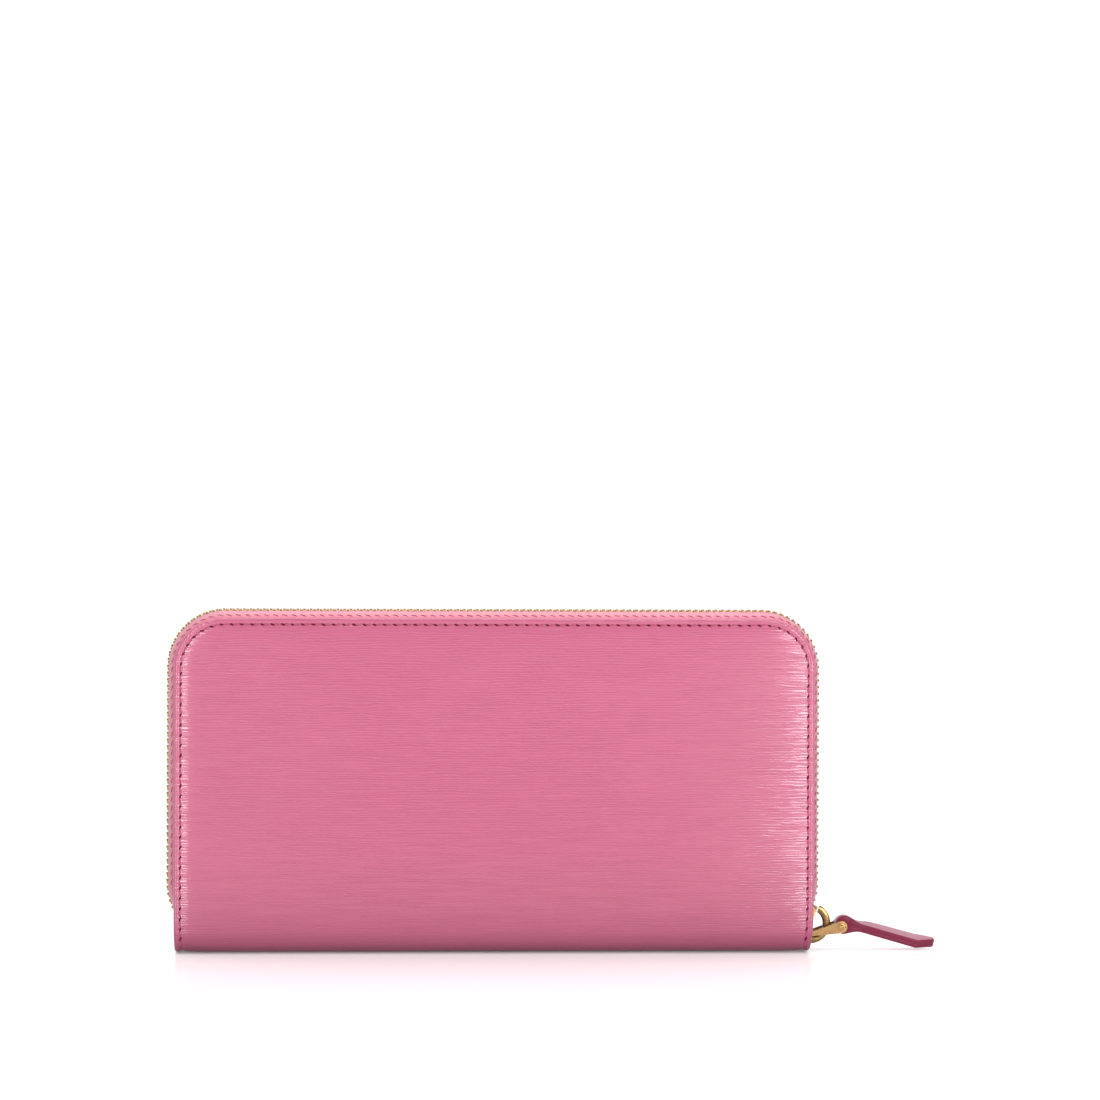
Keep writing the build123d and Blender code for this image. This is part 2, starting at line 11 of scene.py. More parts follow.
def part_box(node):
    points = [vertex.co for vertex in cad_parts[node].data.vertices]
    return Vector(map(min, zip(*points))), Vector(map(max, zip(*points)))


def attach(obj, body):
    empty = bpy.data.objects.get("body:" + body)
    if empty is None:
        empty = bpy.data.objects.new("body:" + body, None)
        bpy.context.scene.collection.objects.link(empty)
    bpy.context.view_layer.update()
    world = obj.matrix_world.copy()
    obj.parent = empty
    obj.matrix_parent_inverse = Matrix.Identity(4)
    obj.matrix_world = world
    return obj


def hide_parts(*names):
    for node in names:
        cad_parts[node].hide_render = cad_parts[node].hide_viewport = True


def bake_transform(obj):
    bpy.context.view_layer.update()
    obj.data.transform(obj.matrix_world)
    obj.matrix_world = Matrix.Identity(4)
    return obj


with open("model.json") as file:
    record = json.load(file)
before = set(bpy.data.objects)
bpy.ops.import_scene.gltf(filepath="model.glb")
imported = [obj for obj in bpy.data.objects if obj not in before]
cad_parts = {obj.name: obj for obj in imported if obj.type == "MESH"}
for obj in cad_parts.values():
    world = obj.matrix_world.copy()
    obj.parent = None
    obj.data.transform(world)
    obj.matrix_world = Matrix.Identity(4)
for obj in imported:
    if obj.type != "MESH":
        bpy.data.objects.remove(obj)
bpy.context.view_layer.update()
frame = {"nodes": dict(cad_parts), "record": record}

MM = 0.001
record = frame["record"]
joints = {j["name"]: j for j in record["behaviour"]["joints"]}
rng = np.random.default_rng(7)


# ------------------------------------------------------------------ sizes read from the frame
def mm(node):
    lo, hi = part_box(node)
    return np.array(lo) * 1000, np.array(hi) * 1000


lo, hi = mm("front_cover_leather")
HW, TOP = hi[0], hi[2]                   # half width and top of a cover
TH = -lo[1]                              # half of the wallet's thickness
R = 15.0
FOLD = 6.5                               # outside radius of a spine fold
LEATHER = 1.4
lo, hi = mm("back_zip_teeth")
CHAIN_OUT = hi[0] - HW - 1.1
CHX, CHZ = HW + CHAIN_OUT, TOP + CHAIN_OUT
CX, CZ = HW - R, TOP - R
CR = R + CHAIN_OUT
SIDE_END, END_R, END_A = 20.0, 16.0, math.radians(22.0)
L1 = CX
L2 = L1 + CR * math.pi / 2
L3 = L2 + CZ - SIDE_END
L4 = L3 + END_R * END_A
PARK = L4 + 5.8
TAIL = PARK - 5.5
SPLIT = 173.6                            # where the rows on the covers give way to the fixed ends


def chain(d):
    s = 1 if d >= 0 else -1
    a = abs(d)
    if a <= L1:
        p = (a, CHZ, 1.0, 0.0)
    elif a <= L2:
        t = (a - L1) / CR
        p = (CX + CR * math.sin(t), CZ + CR * math.cos(t), math.cos(t), -math.sin(t))
    elif a <= L3:
        p = (CHX, CZ - (a - L2), 0.0, -1.0)
    else:
        t = min(a - L3, L4 - L3) / END_R
        c = CHX - END_R
        x, z = c + END_R * math.cos(t), SIDE_END - END_R * math.sin(t)
        tx, tz = -math.sin(t), -math.cos(t)
        rest = max(0.0, a - L4)
        p = (x + tx * rest, z + tz * rest, tx, tz)
    return s * p[0], p[1], p[2], s * p[3]


def smooth(t):
    t = np.clip(t, 0, 1)
    return t * t * (3 - 2 * t)


def spread(past):
    return 1.55 * float(smooth(past / 6.2))


# ------------------------------------------------------------------ materials
def new_material(name):
    m = bpy.data.materials.new(name)
    m.use_nodes = True
    nt = m.node_tree
    nt.nodes.clear()
    out = nt.nodes.new("ShaderNodeOutputMaterial")
    sh = nt.nodes.new("ShaderNodeBsdfPrincipled")
    nt.links.new(sh.outputs[0], out.inputs[0])
    return m, nt, sh


class G:
    """Small helper that wires nodes."""

    def __init__(self, nt):
        self.nt = nt

    def n(self, kind, **props):
        node = self.nt.nodes.new(kind)
        for k, v in props.items():
            if k.startswith("in_"):
                key = k[3:]
                node.inputs[int(key) if key.isdigit() else key.replace("_", " ")].default_value = v
            else:
                setattr(node, k, v)
        return node

    def link(self, a, b):
        self.nt.links.new(a, b)

    def math(self, op, a, b=None, c=None, clamp=False):
        node = self.nt.nodes.new("ShaderNodeMath")
        node.operation = op
        node.use_clamp = clamp
        for k, v in enumerate((a, b, c)):
            if v is None:
                continue
            if isinstance(v, (int, float)):
                node.inputs[k].default_value = v
            else:
                self.link(v, node.inputs[k])
        return node.outputs[0]

    def ramp(self, value, stops):
        node = self.nt.nodes.new("ShaderNodeValToRGB")
        r = node.color_ramp
        while len(r.elements) < len(stops):
            r.elements.new(0.5)
        for e, (p, c) in zip(r.elements, stops):
            e.position = p
            e.color = (*c, 1) if len(c) == 3 else (c[0], c[0], c[0], 1)
        self.link(value, node.inputs[0])
        return node.outputs[0]

    def mix(self, fac, a, b, blend="MIX"):
        node = self.nt.nodes.new("ShaderNodeMix")
        node.data_type = "RGBA"
        node.blend_type = blend
        for sock, v in ((node.inputs[0], fac), (node.inputs[6], a), (node.inputs[7], b)):
            if isinstance(v, (int, float)):
                sock.default_value = v
            elif isinstance(v, tuple):
                sock.default_value = (*v, 1)
            else:
                self.link(v, sock)
        return node.outputs[2]

    def uv(self, sx, sy, ox=0.0, oy=0.0):
        """The piece's flat map in millimetres, scaled."""
        u = self.n("ShaderNodeUVMap", uv_map="flat")
        m = self.n("ShaderNodeMapping")
        m.inputs["Scale"].default_value = (100 * sx, 100 * sy, 1)
        m.inputs["Location"].default_value = (ox, oy, 0)
        self.link(u.outputs[0], m.inputs[0])
        return m.outputs[0]

    def noise(self, vec, scale=1.0, detail=3.0, rough=0.5, dist=0.0):
        node = self.n("ShaderNodeTexNoise")
        node.inputs["Scale"].default_value = scale
        node.inputs["Detail"].default_value = detail
        node.inputs["Roughness"].default_value = rough
        node.inputs["Distortion"].default_value = dist
        self.link(vec, node.inputs["Vector"])
        return node.outputs[0]

    def wave(self, vec, scale, distortion, detail, dscale, direction="Y", profile="SIN"):
        node = self.n("ShaderNodeTexWave", wave_type="BANDS", bands_direction=direction, wave_profile=profile)
        node.inputs["Scale"].default_value = scale
        node.inputs["Distortion"].default_value = distortion
        node.inputs["Detail"].default_value = detail
        node.inputs["Detail Scale"].default_value = dscale
        self.link(vec, node.inputs["Vector"])
        return node.outputs["Fac"]

    def bump(self, height, strength, distance, normal=None):
        node = self.n("ShaderNodeBump")
        node.inputs["Strength"].default_value = strength
        node.inputs["Distance"].default_value = distance
        self.link(height, node.inputs["Height"])
        if normal is not None:
            self.link(normal, node.inputs["Normal"])
        return node.outputs[0]


def srgb(h):
    v = [int(h[i:i + 2], 16) / 255 for i in (0, 2, 4)]
    return tuple(c / 12.92 if c <= 0.04045 else ((c + 0.055) / 1.055) ** 2.4 for c in v)


def leather_material(name, base, dark, light, grain=1.0, rough=0.42, spec=0.5, fold=True):
    """Embossed calf: fine wavy horizontal ridges under a glazed face, with painted shade that makes it a little darker
    along the fold.
    """
    m, nt, sh = new_material(name)
    g = G(nt)
    vec = g.uv(1.0, 1.0)
    sep = g.n("ShaderNodeSeparateXYZ")
    g.link(vec, sep.inputs[0])
    v = sep.outputs[1]
    # ridges 0.8 mm apart wander, merge and fade along their length
    wander = g.noise(g.uv(0.045, 0.30), 1.0, 2.5, 0.55)
    small = g.noise(g.uv(0.16, 0.55, 4.0, 9.0), 1.0, 1.5, 0.5)
    phase = g.math("ADD", g.math("MULTIPLY", v, 1.0 / 0.76), g.math("ADD", g.math("MULTIPLY", wander, 2.2), g.math("MULTIPLY", small, 0.8)))
    ridge = g.math("SINE", g.math("MULTIPLY", phase, 2 * math.pi))
    fade = g.ramp(g.noise(g.uv(0.055, 0.75, 11.0, 2.0), 1.0, 2.0, 0.5), [(0.36, (0.25,)), (0.60, (1,))])
    height = g.math("ADD", g.math("MULTIPLY", g.math("MULTIPLY", ridge, fade), 0.5), 0.5)
    pores = g.noise(g.uv(4.0, 4.0), 1.0, 2.0, 0.6)
    cloud = g.noise(g.uv(0.03, 0.05), 1.0, 3.0, 0.5)
    c = g.mix(g.ramp(height, [(0.05, (0,)), (0.55, (1,))]), dark, base)
    c = g.mix(g.math("MULTIPLY", g.ramp(cloud, [(0.35, (0,)), (0.7, (1,))]), 0.30), c, light)
    if fold:
        # painted shade: the colour darkens towards the bottom of the fold, where the spine turns away from the light
        painted_shade = g.ramp(g.math("DIVIDE", v, 60.0), [(0.13, (0.46,)), (0.21, (0.61,)), (0.27, (0.79,)), (0.38, (0.90,)), (0.66, (1,))])
        c = g.mix(1.0, c, painted_shade, "MULTIPLY")
    g.link(c, sh.inputs["Base Color"])
    r = g.math("ADD", g.math("MULTIPLY", pores, 0.10), g.math("ADD", g.math("MULTIPLY", height, -0.06), rough))
    g.link(r, sh.inputs["Roughness"])
    sh.inputs["Specular IOR Level"].default_value = spec
    if fold:
        g.link(g.ramp(g.math("DIVIDE", v, 60.0), [(0.20, (0.1,)), (0.40, (1,))]), sh.inputs["Coat Weight"])
    else:
        sh.inputs["Coat Weight"].default_value = 0.25
    sh.inputs["Coat Roughness"].default_value = 0.15
    b = g.bump(pores, 0.10 * grain, 0.00004)
    b = g.bump(height, 1.0, 0.000066 * grain, b)
    g.link(b, sh.inputs["Normal"])
    g.link(b, sh.inputs["Coat Normal"])
    return m


def smooth_leather(name, base, dark, rough=0.45):
    """Thin lining calf: fine pebble and soft creases."""
    m, nt, sh = new_material(name)
    g = G(nt)
    co = g.n("ShaderNodeTexCoord").outputs["Object"]
    cell = g.n("ShaderNodeTexVoronoi", feature="SMOOTH_F1")
    cell.inputs["Scale"].default_value = 1300
    g.link(co, cell.inputs["Vector"])
    n1 = g.noise(co, 90, 4, 0.6)
    c = g.mix(g.ramp(n1, [(0.3, (0,)), (0.7, (1,))]), dark, base)
    c = g.mix(g.math("MULTIPLY", cell.outputs["Distance"], 0.35), c, dark)
    g.link(c, sh.inputs["Base Color"])
    g.link(g.math("ADD", g.math("MULTIPLY", n1, 0.15), rough - 0.05), sh.inputs["Roughness"])
    g.link(g.bump(cell.outputs["Distance"], 0.35, 0.00005), sh.inputs["Normal"])
    return m


def woven(name, base, dark, pitch=0.5, rough=0.75, twill=True, uv=True, ends=False):
    """Narrow woven tape or lining: fine slanted twill ribs with cross threads."""
    m, nt, sh = new_material(name)
    g = G(nt)
    if uv:
        vec = g.uv(1 / pitch, 1 / pitch)
    else:
        mp = g.n("ShaderNodeMapping")
        mp.inputs["Scale"].default_value = (1000 / pitch,) * 3
        g.link(g.n("ShaderNodeTexCoord").outputs["Object"], mp.inputs[0])
        vec = mp.outputs[0]
    rot = g.n("ShaderNodeMapping")
    rot.inputs["Rotation"].default_value = (0, 0, math.radians(32 if twill else 0))
    g.link(vec, rot.inputs[0])
    a = g.wave(rot.outputs[0], 0.32, 0.6, 1.0, 1.0, "Y")
    b = g.wave(rot.outputs[0], 0.55, 0.5, 1.0, 1.0, "X")
    h = g.math("ADD", g.math("MULTIPLY", a, 0.65), g.math("MULTIPLY", b, 0.35))
    fuzz = g.noise(vec, 3.0, 2.0, 0.6)
    c = g.mix(g.ramp(h, [(0.15, (0,)), (0.7, (1,))]), dark, base)
    if ends:
        # painted shade: the tape darkens past the top straight, round the corners and down the sides, which face away
        # from the top light
        along = g.n("ShaderNodeSeparateXYZ")
        g.link(g.uv(1.0, 1.0), along.inputs[0])
        painted_shade = g.ramp(g.math("DIVIDE", g.math("ABSOLUTE", along.outputs[0]), 200.0), [(0.40, (1,)), (0.54, (0.66,)), (0.9, (0.55,))])
        c = g.mix(1.0, c, painted_shade, "MULTIPLY")
    c = g.mix(g.math("MULTIPLY", fuzz, 0.3), c, dark)
    g.link(c, sh.inputs["Base Color"])
    g.link(g.math("ADD", g.math("MULTIPLY", fuzz, 0.15), rough - 0.07), sh.inputs["Roughness"])
    sh.inputs["Sheen Weight"].default_value = 0.35
    sh.inputs["Sheen Roughness"].default_value = 0.4
    sh.inputs["Specular IOR Level"].default_value = 0.3
    g.link(g.bump(h, 0.6, 0.0001), sh.inputs["Normal"])
    return m


def gold(name, base, rough=0.2, dirt=0.25):
    """Light gold plate: polishing lines and faint handling marks."""
    m, nt, sh = new_material(name)
    g = G(nt)
    co = g.n("ShaderNodeTexCoord").outputs["Object"]
    mp = g.n("ShaderNodeMapping")
    mp.inputs["Scale"].default_value = (260, 260, 1300)
    g.link(co, mp.inputs[0])
    lines = g.noise(mp.outputs[0], 1.0, 3.0, 0.6)
    marks = g.noise(co, 170, 3.0, 0.55)
    c = g.mix(g.math("MULTIPLY", g.ramp(marks, [(0.35, (1,)), (0.62, (0,))]), dirt), base, tuple(v * 0.55 for v in base))
    g.link(c, sh.inputs["Base Color"])
    sh.inputs["Metallic"].default_value = 1.0
    g.link(g.math("ADD", g.math("MULTIPLY", marks, 0.16), g.math("ADD", g.math("MULTIPLY", lines, 0.06), rough - 0.1)), sh.inputs["Roughness"])
    g.link(g.bump(lines, 0.05, 0.00002), sh.inputs["Normal"])
    return m


def plain(name, base, rough, amount=0.15, scale=300, bump=0.2):
    """Painted edge, thread or board: a tone with fine fibres or brush marks."""
    m, nt, sh = new_material(name)
    g = G(nt)
    co = g.n("ShaderNodeTexCoord").outputs["Object"]
    n1 = g.noise(co, scale, 4, 0.6)
    g.link(g.mix(g.math("MULTIPLY", n1, amount * 2), base, tuple(v * 0.6 for v in base)), sh.inputs["Base Color"])
    g.link(g.math("ADD", g.math("MULTIPLY", n1, 0.2), rough - 0.1), sh.inputs["Roughness"])
    g.link(g.bump(n1, bump, 0.0001), sh.inputs["Normal"])
    return m


M_SKIN = leather_material("outer_calf", srgb("a84869"), srgb("a04061"), srgb("ad4e6e"))
# Darker edge paint; on the cover's turned edge this dark tone is also painted shade for the crevice between the leather
# and the zip tape
M_EDGE_PAINT_AND_SHADE = plain("turned_edge_paint_and_shade", srgb("84304c"), 0.6, 0.15, 600, 0.2)
M_TAB = leather_material("tab_calf", srgb("9a4560"), srgb("873751"), srgb("a55872"), grain=0.8, rough=0.4, spec=0.4, fold=False)
M_TABEDGE = plain("tab_painted_edge", srgb("6f1c36"), 0.4, 0.12, 500, 0.15)
M_TABEDGE.node_tree.nodes["Principled BSDF"].inputs["Specular IOR Level"].default_value = 0.22
# ends=True paints shade onto the tape along the wallet's sides
M_TAPE = woven("zip_tape_twill", srgb("dd8799"), srgb("bf6079"), 0.42, ends=True)
M_THREAD = plain("sewing_thread", srgb("a8405e"), 0.5, 0.2, 1500, 0.3)
# painted shade: the needle slits are dark slivers standing in for the shadow inside each stitch hole
M_SLIT_SHADE = plain("needle_slit_shade", srgb("5c1a2c"), 0.9, 0.1, 900, 0.1)
M_SLIT_SHADE.node_tree.nodes["Principled BSDF"].inputs["Specular IOR Level"].default_value = 0.08
M_TEETH = gold("zip_teeth_gold", srgb("ad8650"), 0.3, 0.5)
M_GOLD = gold("polished_gold", srgb("ab875c"), 0.25, 0.16)
# painted shade: a darker copy of the slider's gold, for the crown's dim flat face
M_CROWN_SHADED_GOLD = gold("arch_gold_shaded", srgb("8d7047"), 0.26, 0.2)
M_LINCALF = smooth_leather("lining_calf", srgb("c0617d"), srgb("aa4f6b"))
M_GUSSET = smooth_leather("gusset_calf", srgb("b85a76"), srgb("a04a66"), 0.5)
M_LINING = woven("lining_cloth", srgb("c9708a"), srgb("a95670"), 0.35, 0.8, False, uv=False)
M_BOARD = plain("fibre_board", srgb("b7a98f"), 0.85, 0.25, 700, 0.3)
M_COINTAPE = woven("coin_tape_cloth", srgb("e58ca2"), srgb("bf6380"), 0.42, 0.75, True, uv=False)


# ------------------------------------------------------------------ mesh helpers
def mesh_object(name, verts, faces, mats, uvs=None, face_mats=None, smooth_shade=True):
    """verts in millimetres; uvs one per vertex, in millimetres."""
    me = bpy.data.meshes.new(name)
    me.from_pydata([tuple(v) for v in np.asarray(verts, float) * MM], [], [tuple(int(i) for i in f) for f in faces])
    me.update()
    if uvs is not None:
        layer = me.uv_layers.new(name="flat")
        idx = np.empty(len(me.loops), int)
        me.loops.foreach_get("vertex_index", idx)
        layer.data.foreach_set("uv", (np.asarray(uvs, float)[idx] / 100.0).astype(np.float32).ravel())
    for m in mats if isinstance(mats, (list, tuple)) else [mats]:
        me.materials.append(m)
    if face_mats is not None:
        me.polygons.foreach_set("material_index", np.asarray(face_mats, np.int32))
    me.polygons.foreach_set("use_smooth", [smooth_shade] * len(me.polygons))
    me.update()
    o = bpy.data.objects.new(name, me)
    bpy.context.scene.collection.objects.link(o)
    return o


def fix_normals(o):
    bm = bmesh.new()
    bm.from_mesh(o.data)
    bmesh.ops.recalc_face_normals(bm, faces=bm.faces)
    bm.to_mesh(o.data)
    bm.free()


def bevel(o, width, segments=2, angle=35):
    m = o.modifiers.new("bevel", "BEVEL")
    m.width = width * MM
    m.segments = segments
    m.limit_method = "ANGLE"
    m.angle_limit = math.radians(angle)
    m.harden_normals = True
    return o


class Soup:
    """Collects many small closed shapes into one mesh."""

    def __init__(self):
        self.v, self.f, self.m, self.uv, self.n = [], [], [], [], 0

    def add(self, verts, faces, mat=0, uv=None):
        verts = np.asarray(verts, float)
        self.v.append(verts)
        self.f.extend([tuple(i + self.n for i in f) for f in faces])
        self.m.extend([mat] * len(faces))
        self.uv.append(np.asarray(uv, float) if uv is not None else verts[:, [0, 2]])
        self.n += len(verts)

    def make(self, name, mats, smooth_shade=True):
        return mesh_object(name, np.vstack(self.v), self.f, mats, np.vstack(self.uv), self.m, smooth_shade)


def tube(points, radii, sides=8, flat=1.0, cap=True, up=(0, 1, 0)):
    """Closed tube through points; flat squeezes it along up."""
    pts = np.asarray(points, float)
    tang = np.gradient(pts, axis=0)
    tang /= np.linalg.norm(tang, axis=1)[:, None]
    up = np.asarray(up, float)
    verts = []
    for p, t, r in zip(pts, tang, np.broadcast_to(radii, len(pts))):
        a = np.cross(t, up)
        if np.linalg.norm(a) < 1e-6:
            a = np.cross(t, (0.3, 0.2, 1))
        a /= np.linalg.norm(a)
        b = np.cross(a, t)
        for k in range(sides):
            w = 2 * math.pi * k / sides
            verts.append(p + r * (math.cos(w) * a + flat * math.sin(w) * b))
    n = len(pts)
    faces = [(i * sides + k, i * sides + (k + 1) % sides, (i + 1) * sides + (k + 1) % sides, (i + 1) * sides + k) for i in range(n - 1) for k in range(sides)]
    if cap:
        faces.append(tuple(range(sides))[::-1])
        faces.append(tuple((n - 1) * sides + k for k in range(sides)))
    return np.array(verts), faces


def round_poly(points, radius, seg=4):
    """Rounds the corners of a closed polygon."""
    pts = [np.array(p, float) for p in points]
    rad = radius if isinstance(radius, (list, tuple)) else [radius] * len(pts)
    out = []
    for i, p in enumerate(pts):
        a, b = pts[i - 1], pts[(i + 1) % len(pts)]
        u, v = (a - p), (b - p)
        lu, lv = np.linalg.norm(u), np.linalg.norm(v)
        u, v = u / lu, v / lv
        ang = math.acos(max(-1, min(1, float(u @ v))))
        r = rad[i]
        if r <= 1e-6 or ang > math.pi - 0.02:
            out.append(p)
            continue
        t = min(r / math.tan(ang / 2), 0.45 * lu, 0.45 * lv)
        for k in range(seg + 1):
            w = k / seg
            q0, q1 = p + u * t, p + v * t
            out.append((1 - w) ** 2 * q0 + 2 * w * (1 - w) * p + w * w * q1)
    return np.array(out)


def plate(outline, h0, h1, origin, ax, ay, az):
    """Extrudes an outline, given along ax and ay, from h0 to h1 along az."""
    o, ax, ay, az = (np.asarray(v, float) for v in (origin, ax, ay, az))
    n = len(outline)
    bottom = [o + p[0] * ax + p[1] * ay + h0 * az for p in outline]
    top = [o + p[0] * ax + p[1] * ay + h1 * az for p in outline]
    faces = [tuple(range(n))[::-1], tuple(range(n, 2 * n))] + [(k, (k + 1) % n, n + (k + 1) % n, n + k) for k in range(n)]
    return np.array(bottom + top), faces


# ------------------------------------------------------------------ outer leather
def edge_profile(d):
    """Height of the leather's face against the distance in from its edge: bead, stitch groove, padded middle."""
    xs = [0, .04, .12, .25, .45, .7, .95, 1.25, 1.5, 1.7, 1.9, 2.15, 2.5, 3.1, 4.0, 5.5, 8, 12, 16]
    hs = [-.80, -.58, -.40, -.26, -.14, -.07, -.05, -.10, -.2, -.34, -.48, -.44, -.36, -.25, -.15, -.08, -.03, -.01, 0]
    return np.interp(d, xs, hs)


def swell(x, z):
    """How far the soft cover stands proud of a flat board: fullest low down, falling away to its right edge."""
    a = np.interp(z, [0, 6, 12, 20, 28, 36, 60, 82, 92, 98, 110], [0, .10, .42, .86, 1.14, 1.22, 1.05, .80, .48, .12, 0])
    right = np.clip((np.asarray(x) - (HW - 44)) / 44.0, 0, 1)
    left = np.clip((-np.asarray(x) - (HW - 62)) / 62.0, 0, 1)
    return a * np.where(np.asarray(x) > 0, 1 - right ** 2, 1 - smooth(left))


def half_width(z, shrink=0.0):
    """Half the width of a cover at height z, left and right."""
    r = R - shrink
    base = HW - shrink - r + np.sqrt(np.maximum(r * r - np.maximum(z - CZ, 0) ** 2, 0))
    low = np.clip((13.0 - z) / 13.0, 0, 1)
    left = base - 0.25 * low ** 1.6
    right = base - 0.75 * low ** 1.5
    return left, right


def skin(name, side):
    """Half of the outer leather: from the middle of the spine's underside up to a cover's top edge. side -1 is the front."""
    # rows: run along the section from the middle of the underside
    flat_len = TH - FOLD
    arc_len = FOLD * math.pi / 2
    s_list = list(np.linspace(0, flat_len, 5)) + list(flat_len + arc_len * np.linspace(0, 1, 15)[1:])
    z0 = FOLD
    up = list(np.arange(z0 + 1.5, CZ - 0.01, 1.7)) + [CZ]
    phis = np.concatenate([np.linspace(0, 60, 31)[1:], np.linspace(60, 90, 28)[1:]])
    rows = [("s", s) for s in s_list] + [("z", z) for z in up] + [("p", math.radians(p)) for p in phis]
    # columns: close together near the edges
    near = [0, .03, .08, .16, .28, .42, .58, .75, .95, 1.15, 1.35, 1.55, 1.75, 1.95, 2.2, 2.5, 2.9, 3.4, 4.0, 4.8, 6.0, 7.5, 9.5, 12, 15]
    mid = np.linspace(15, 2 * HW - 15, 66)[1:-1]
    pos = np.array(near + list(mid) + [2 * HW - v for v in near[::-1]])
    frac = pos / (2 * HW) * 2 - 1          # -1 to 1

    def grid(shrink, height, face=False):
        P, UV = [], []
        for kind, v in rows:
            if kind == "s":
                s = v
                if s <= flat_len:
                    y, z, ny, nz = s, 0.0, 0.0, -1.0
                else:
                    t = (s - flat_len) / FOLD
                    y, z = flat_len + FOLD * math.sin(t), FOLD - FOLD * math.cos(t)
                    ny, nz = math.sin(t), -math.cos(t)
            else:
                z = v if kind == "z" else CZ + (R - shrink) * math.sin(v)
                y, ny, nz = TH, 1.0, 0.0
                s = flat_len + arc_len + (z - FOLD)
            wl, wr = half_width(np.array(z), shrink)
            wl, wr = float(wl), float(wr)
            if s <= flat_len:
                k = 0.0
            x = np.where(frac < 0, frac * wl, frac * wr)
            # keep the close columns at their true distance from the edge
            dl, dr = pos, 2 * HW - pos
            zone = 20.0
            if kind != "p":
                x = np.where(dl < zone, -wl + dl * (1 - dl / zone) + (x) * 0 + (dl / zone) * dl, x)
                x = np.where(dr < zone, wr - dr, x)
            qx, qz = np.abs(x) - (HW - R - 0), z - CZ
            wside = np.where(x < 0, wl, wr) + shrink
            qx = np.abs(x) - (wside - (R if z <= CZ else 0)) if z <= CZ else np.abs(x) - (HW - R)
            if z <= CZ:
                d = wside - np.abs(x)
                d = np.minimum(d, TOP - z)
            else:
                d = R - np.hypot(np.maximum(qx, 0), qz)
                d = np.where(qx < 0, np.minimum(R - qz, 99), d)
            d = np.maximum(d, 0)
            bulge = swell(x, z)
            h = height + (edge_profile(d) if face else 0) + bulge * (0.0 if kind == "s" and v <= flat_len else 1.0)
            if kind == "s" and v > flat_len:
                h = h - bulge + bulge * ((s - flat_len) / arc_len) ** 2
            P.append(np.stack([x, side * (y + ny * h), z + nz * h], 1))
            UV.append(np.stack([x + (0 if side < 0 else 300), np.full_like(x, s)], 1))
        P, UV = np.array(P), np.array(UV)
        P[:, :, 2] = np.maximum(P[:, :, 2], 0.0)
        return P, UV

    nr, nc = len(rows), len(pos)
    outer, uv = grid(0, 0, True)
    loops = [(.03, -.95), (.14, -1.15), (.34, -1.32), (.62, -1.4)]
    inner, uvi = grid(.95, -1.42)
    border = [(0, j) for j in range(nc)] + [(i, nc - 1) for i in range(1, nr)] + [(nr - 1, j) for j in range(nc - 2, -1, -1)] + [(i, 0) for i in range(nr - 2, 0, -1)]
    V = [outer.reshape(-1, 3)]
    U = [uv.reshape(-1, 2)]
    rings = [[i * nc + j for i, j in border]]
    total = nr * nc
    for e, h in loops:
        gl, gu = grid(e, h)
        V.append(np.array([gl[i, j] for i, j in border]))
        U.append(np.array([gu[i, j] for i, j in border]))
        rings.append(list(range(total, total + len(border))))
        total += len(border)
    V.append(inner.reshape(-1, 3))
    U.append(uvi.reshape(-1, 2))
    rings.append([total + i * nc + j for i, j in border])
    faces = []
    for base, flip in ((0, False), (total, True)):
        for i in range(nr - 1):
            for j in range(nc - 1):
                f = (base + i * nc + j, base + i * nc + j + 1, base + (i + 1) * nc + j + 1, base + (i + 1) * nc + j)
                faces.append(f[::-1] if flip else f)
    kinds = [0] * len(faces)
    # the turned edge's inner faces, down against the tape, take the dark edge material: edge paint and painted crevice
    # shade
    for k0, (a, b) in enumerate(zip(rings, rings[1:])):
        n = len(a)
        faces += [(a[k], b[k], b[(k + 1) % n], a[(k + 1) % n]) for k in range(n)]
        kinds += [1 if k0 >= 1 else 0] * n
    if side > 0:
        faces = [f[::-1] for f in faces]
    o = mesh_object(name, np.vstack(V), faces, [M_SKIN, M_EDGE_PAINT_AND_SHADE], np.vstack(U), kinds)
    return o


def surface_y(x, z, d):
    """Distance of the outer face from the middle plane, used to seat the stitches."""
    if z < FOLD:
        t = math.acos(max(-1, min(1, (FOLD - z) / FOLD)))
        y0 = TH - FOLD + FOLD * math.sin(t)
    else:
        y0 = TH
    b = float(swell(x, z))
    if z < FOLD:
        t = math.acos(max(-1, min(1, (FOLD - z) / FOLD)))
        b *= (t / (math.pi / 2)) ** 2
    return y0 + b + float(edge_profile(d))


front_skin = skin("outer_leather_front", -1)
back_skin = skin("outer_leather_back", 1)
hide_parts("front_cover_leather", "spine_leather")
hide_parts("back_cover_leather", "spine_leather")


# ------------------------------------------------------------------ seam round each cover
def seam_path(inset):
    """Points along the seam, from the lower left corner round to the lower right one."""
    r = R - inset
    pts = []

    def lower(z, side):
        l, rr = half_width(np.array(z))
        return (-float(l) + inset) if side < 0 else float(rr) - inset

    for z in np.arange(1.2, CZ, 0.25):
        pts.append((lower(z, -1), z))
    for t in np.linspace(0, math.pi / 2, 90)[1:]:
        pts.append((-CX - r * math.cos(t), CZ + r * math.sin(t)))
    for x in np.arange(-CX + 0.25, CX, 0.25):
        pts.append((x, TOP - inset))
    for t in np.linspace(0, math.pi / 2, 90):
        pts.append((CX + r * math.sin(t), CZ + r * math.cos(t)))
    for z in np.arange(CZ - 0.25, 1.1, -0.25):
        pts.append((lower(z, 1), z))
    return np.array(pts)


def resample(pts, pitch):
    seg = np.linalg.norm(np.diff(pts, axis=0), axis=1)
    s = np.concatenate([[0], np.cumsum(seg)])
    n = max(1, int(round(s[-1] / pitch)))
    at = np.linspace(0, s[-1], n + 1)
    return np.stack([np.interp(at, s, pts[:, 0]), np.interp(at, s, pts[:, 1])], 1), s, at


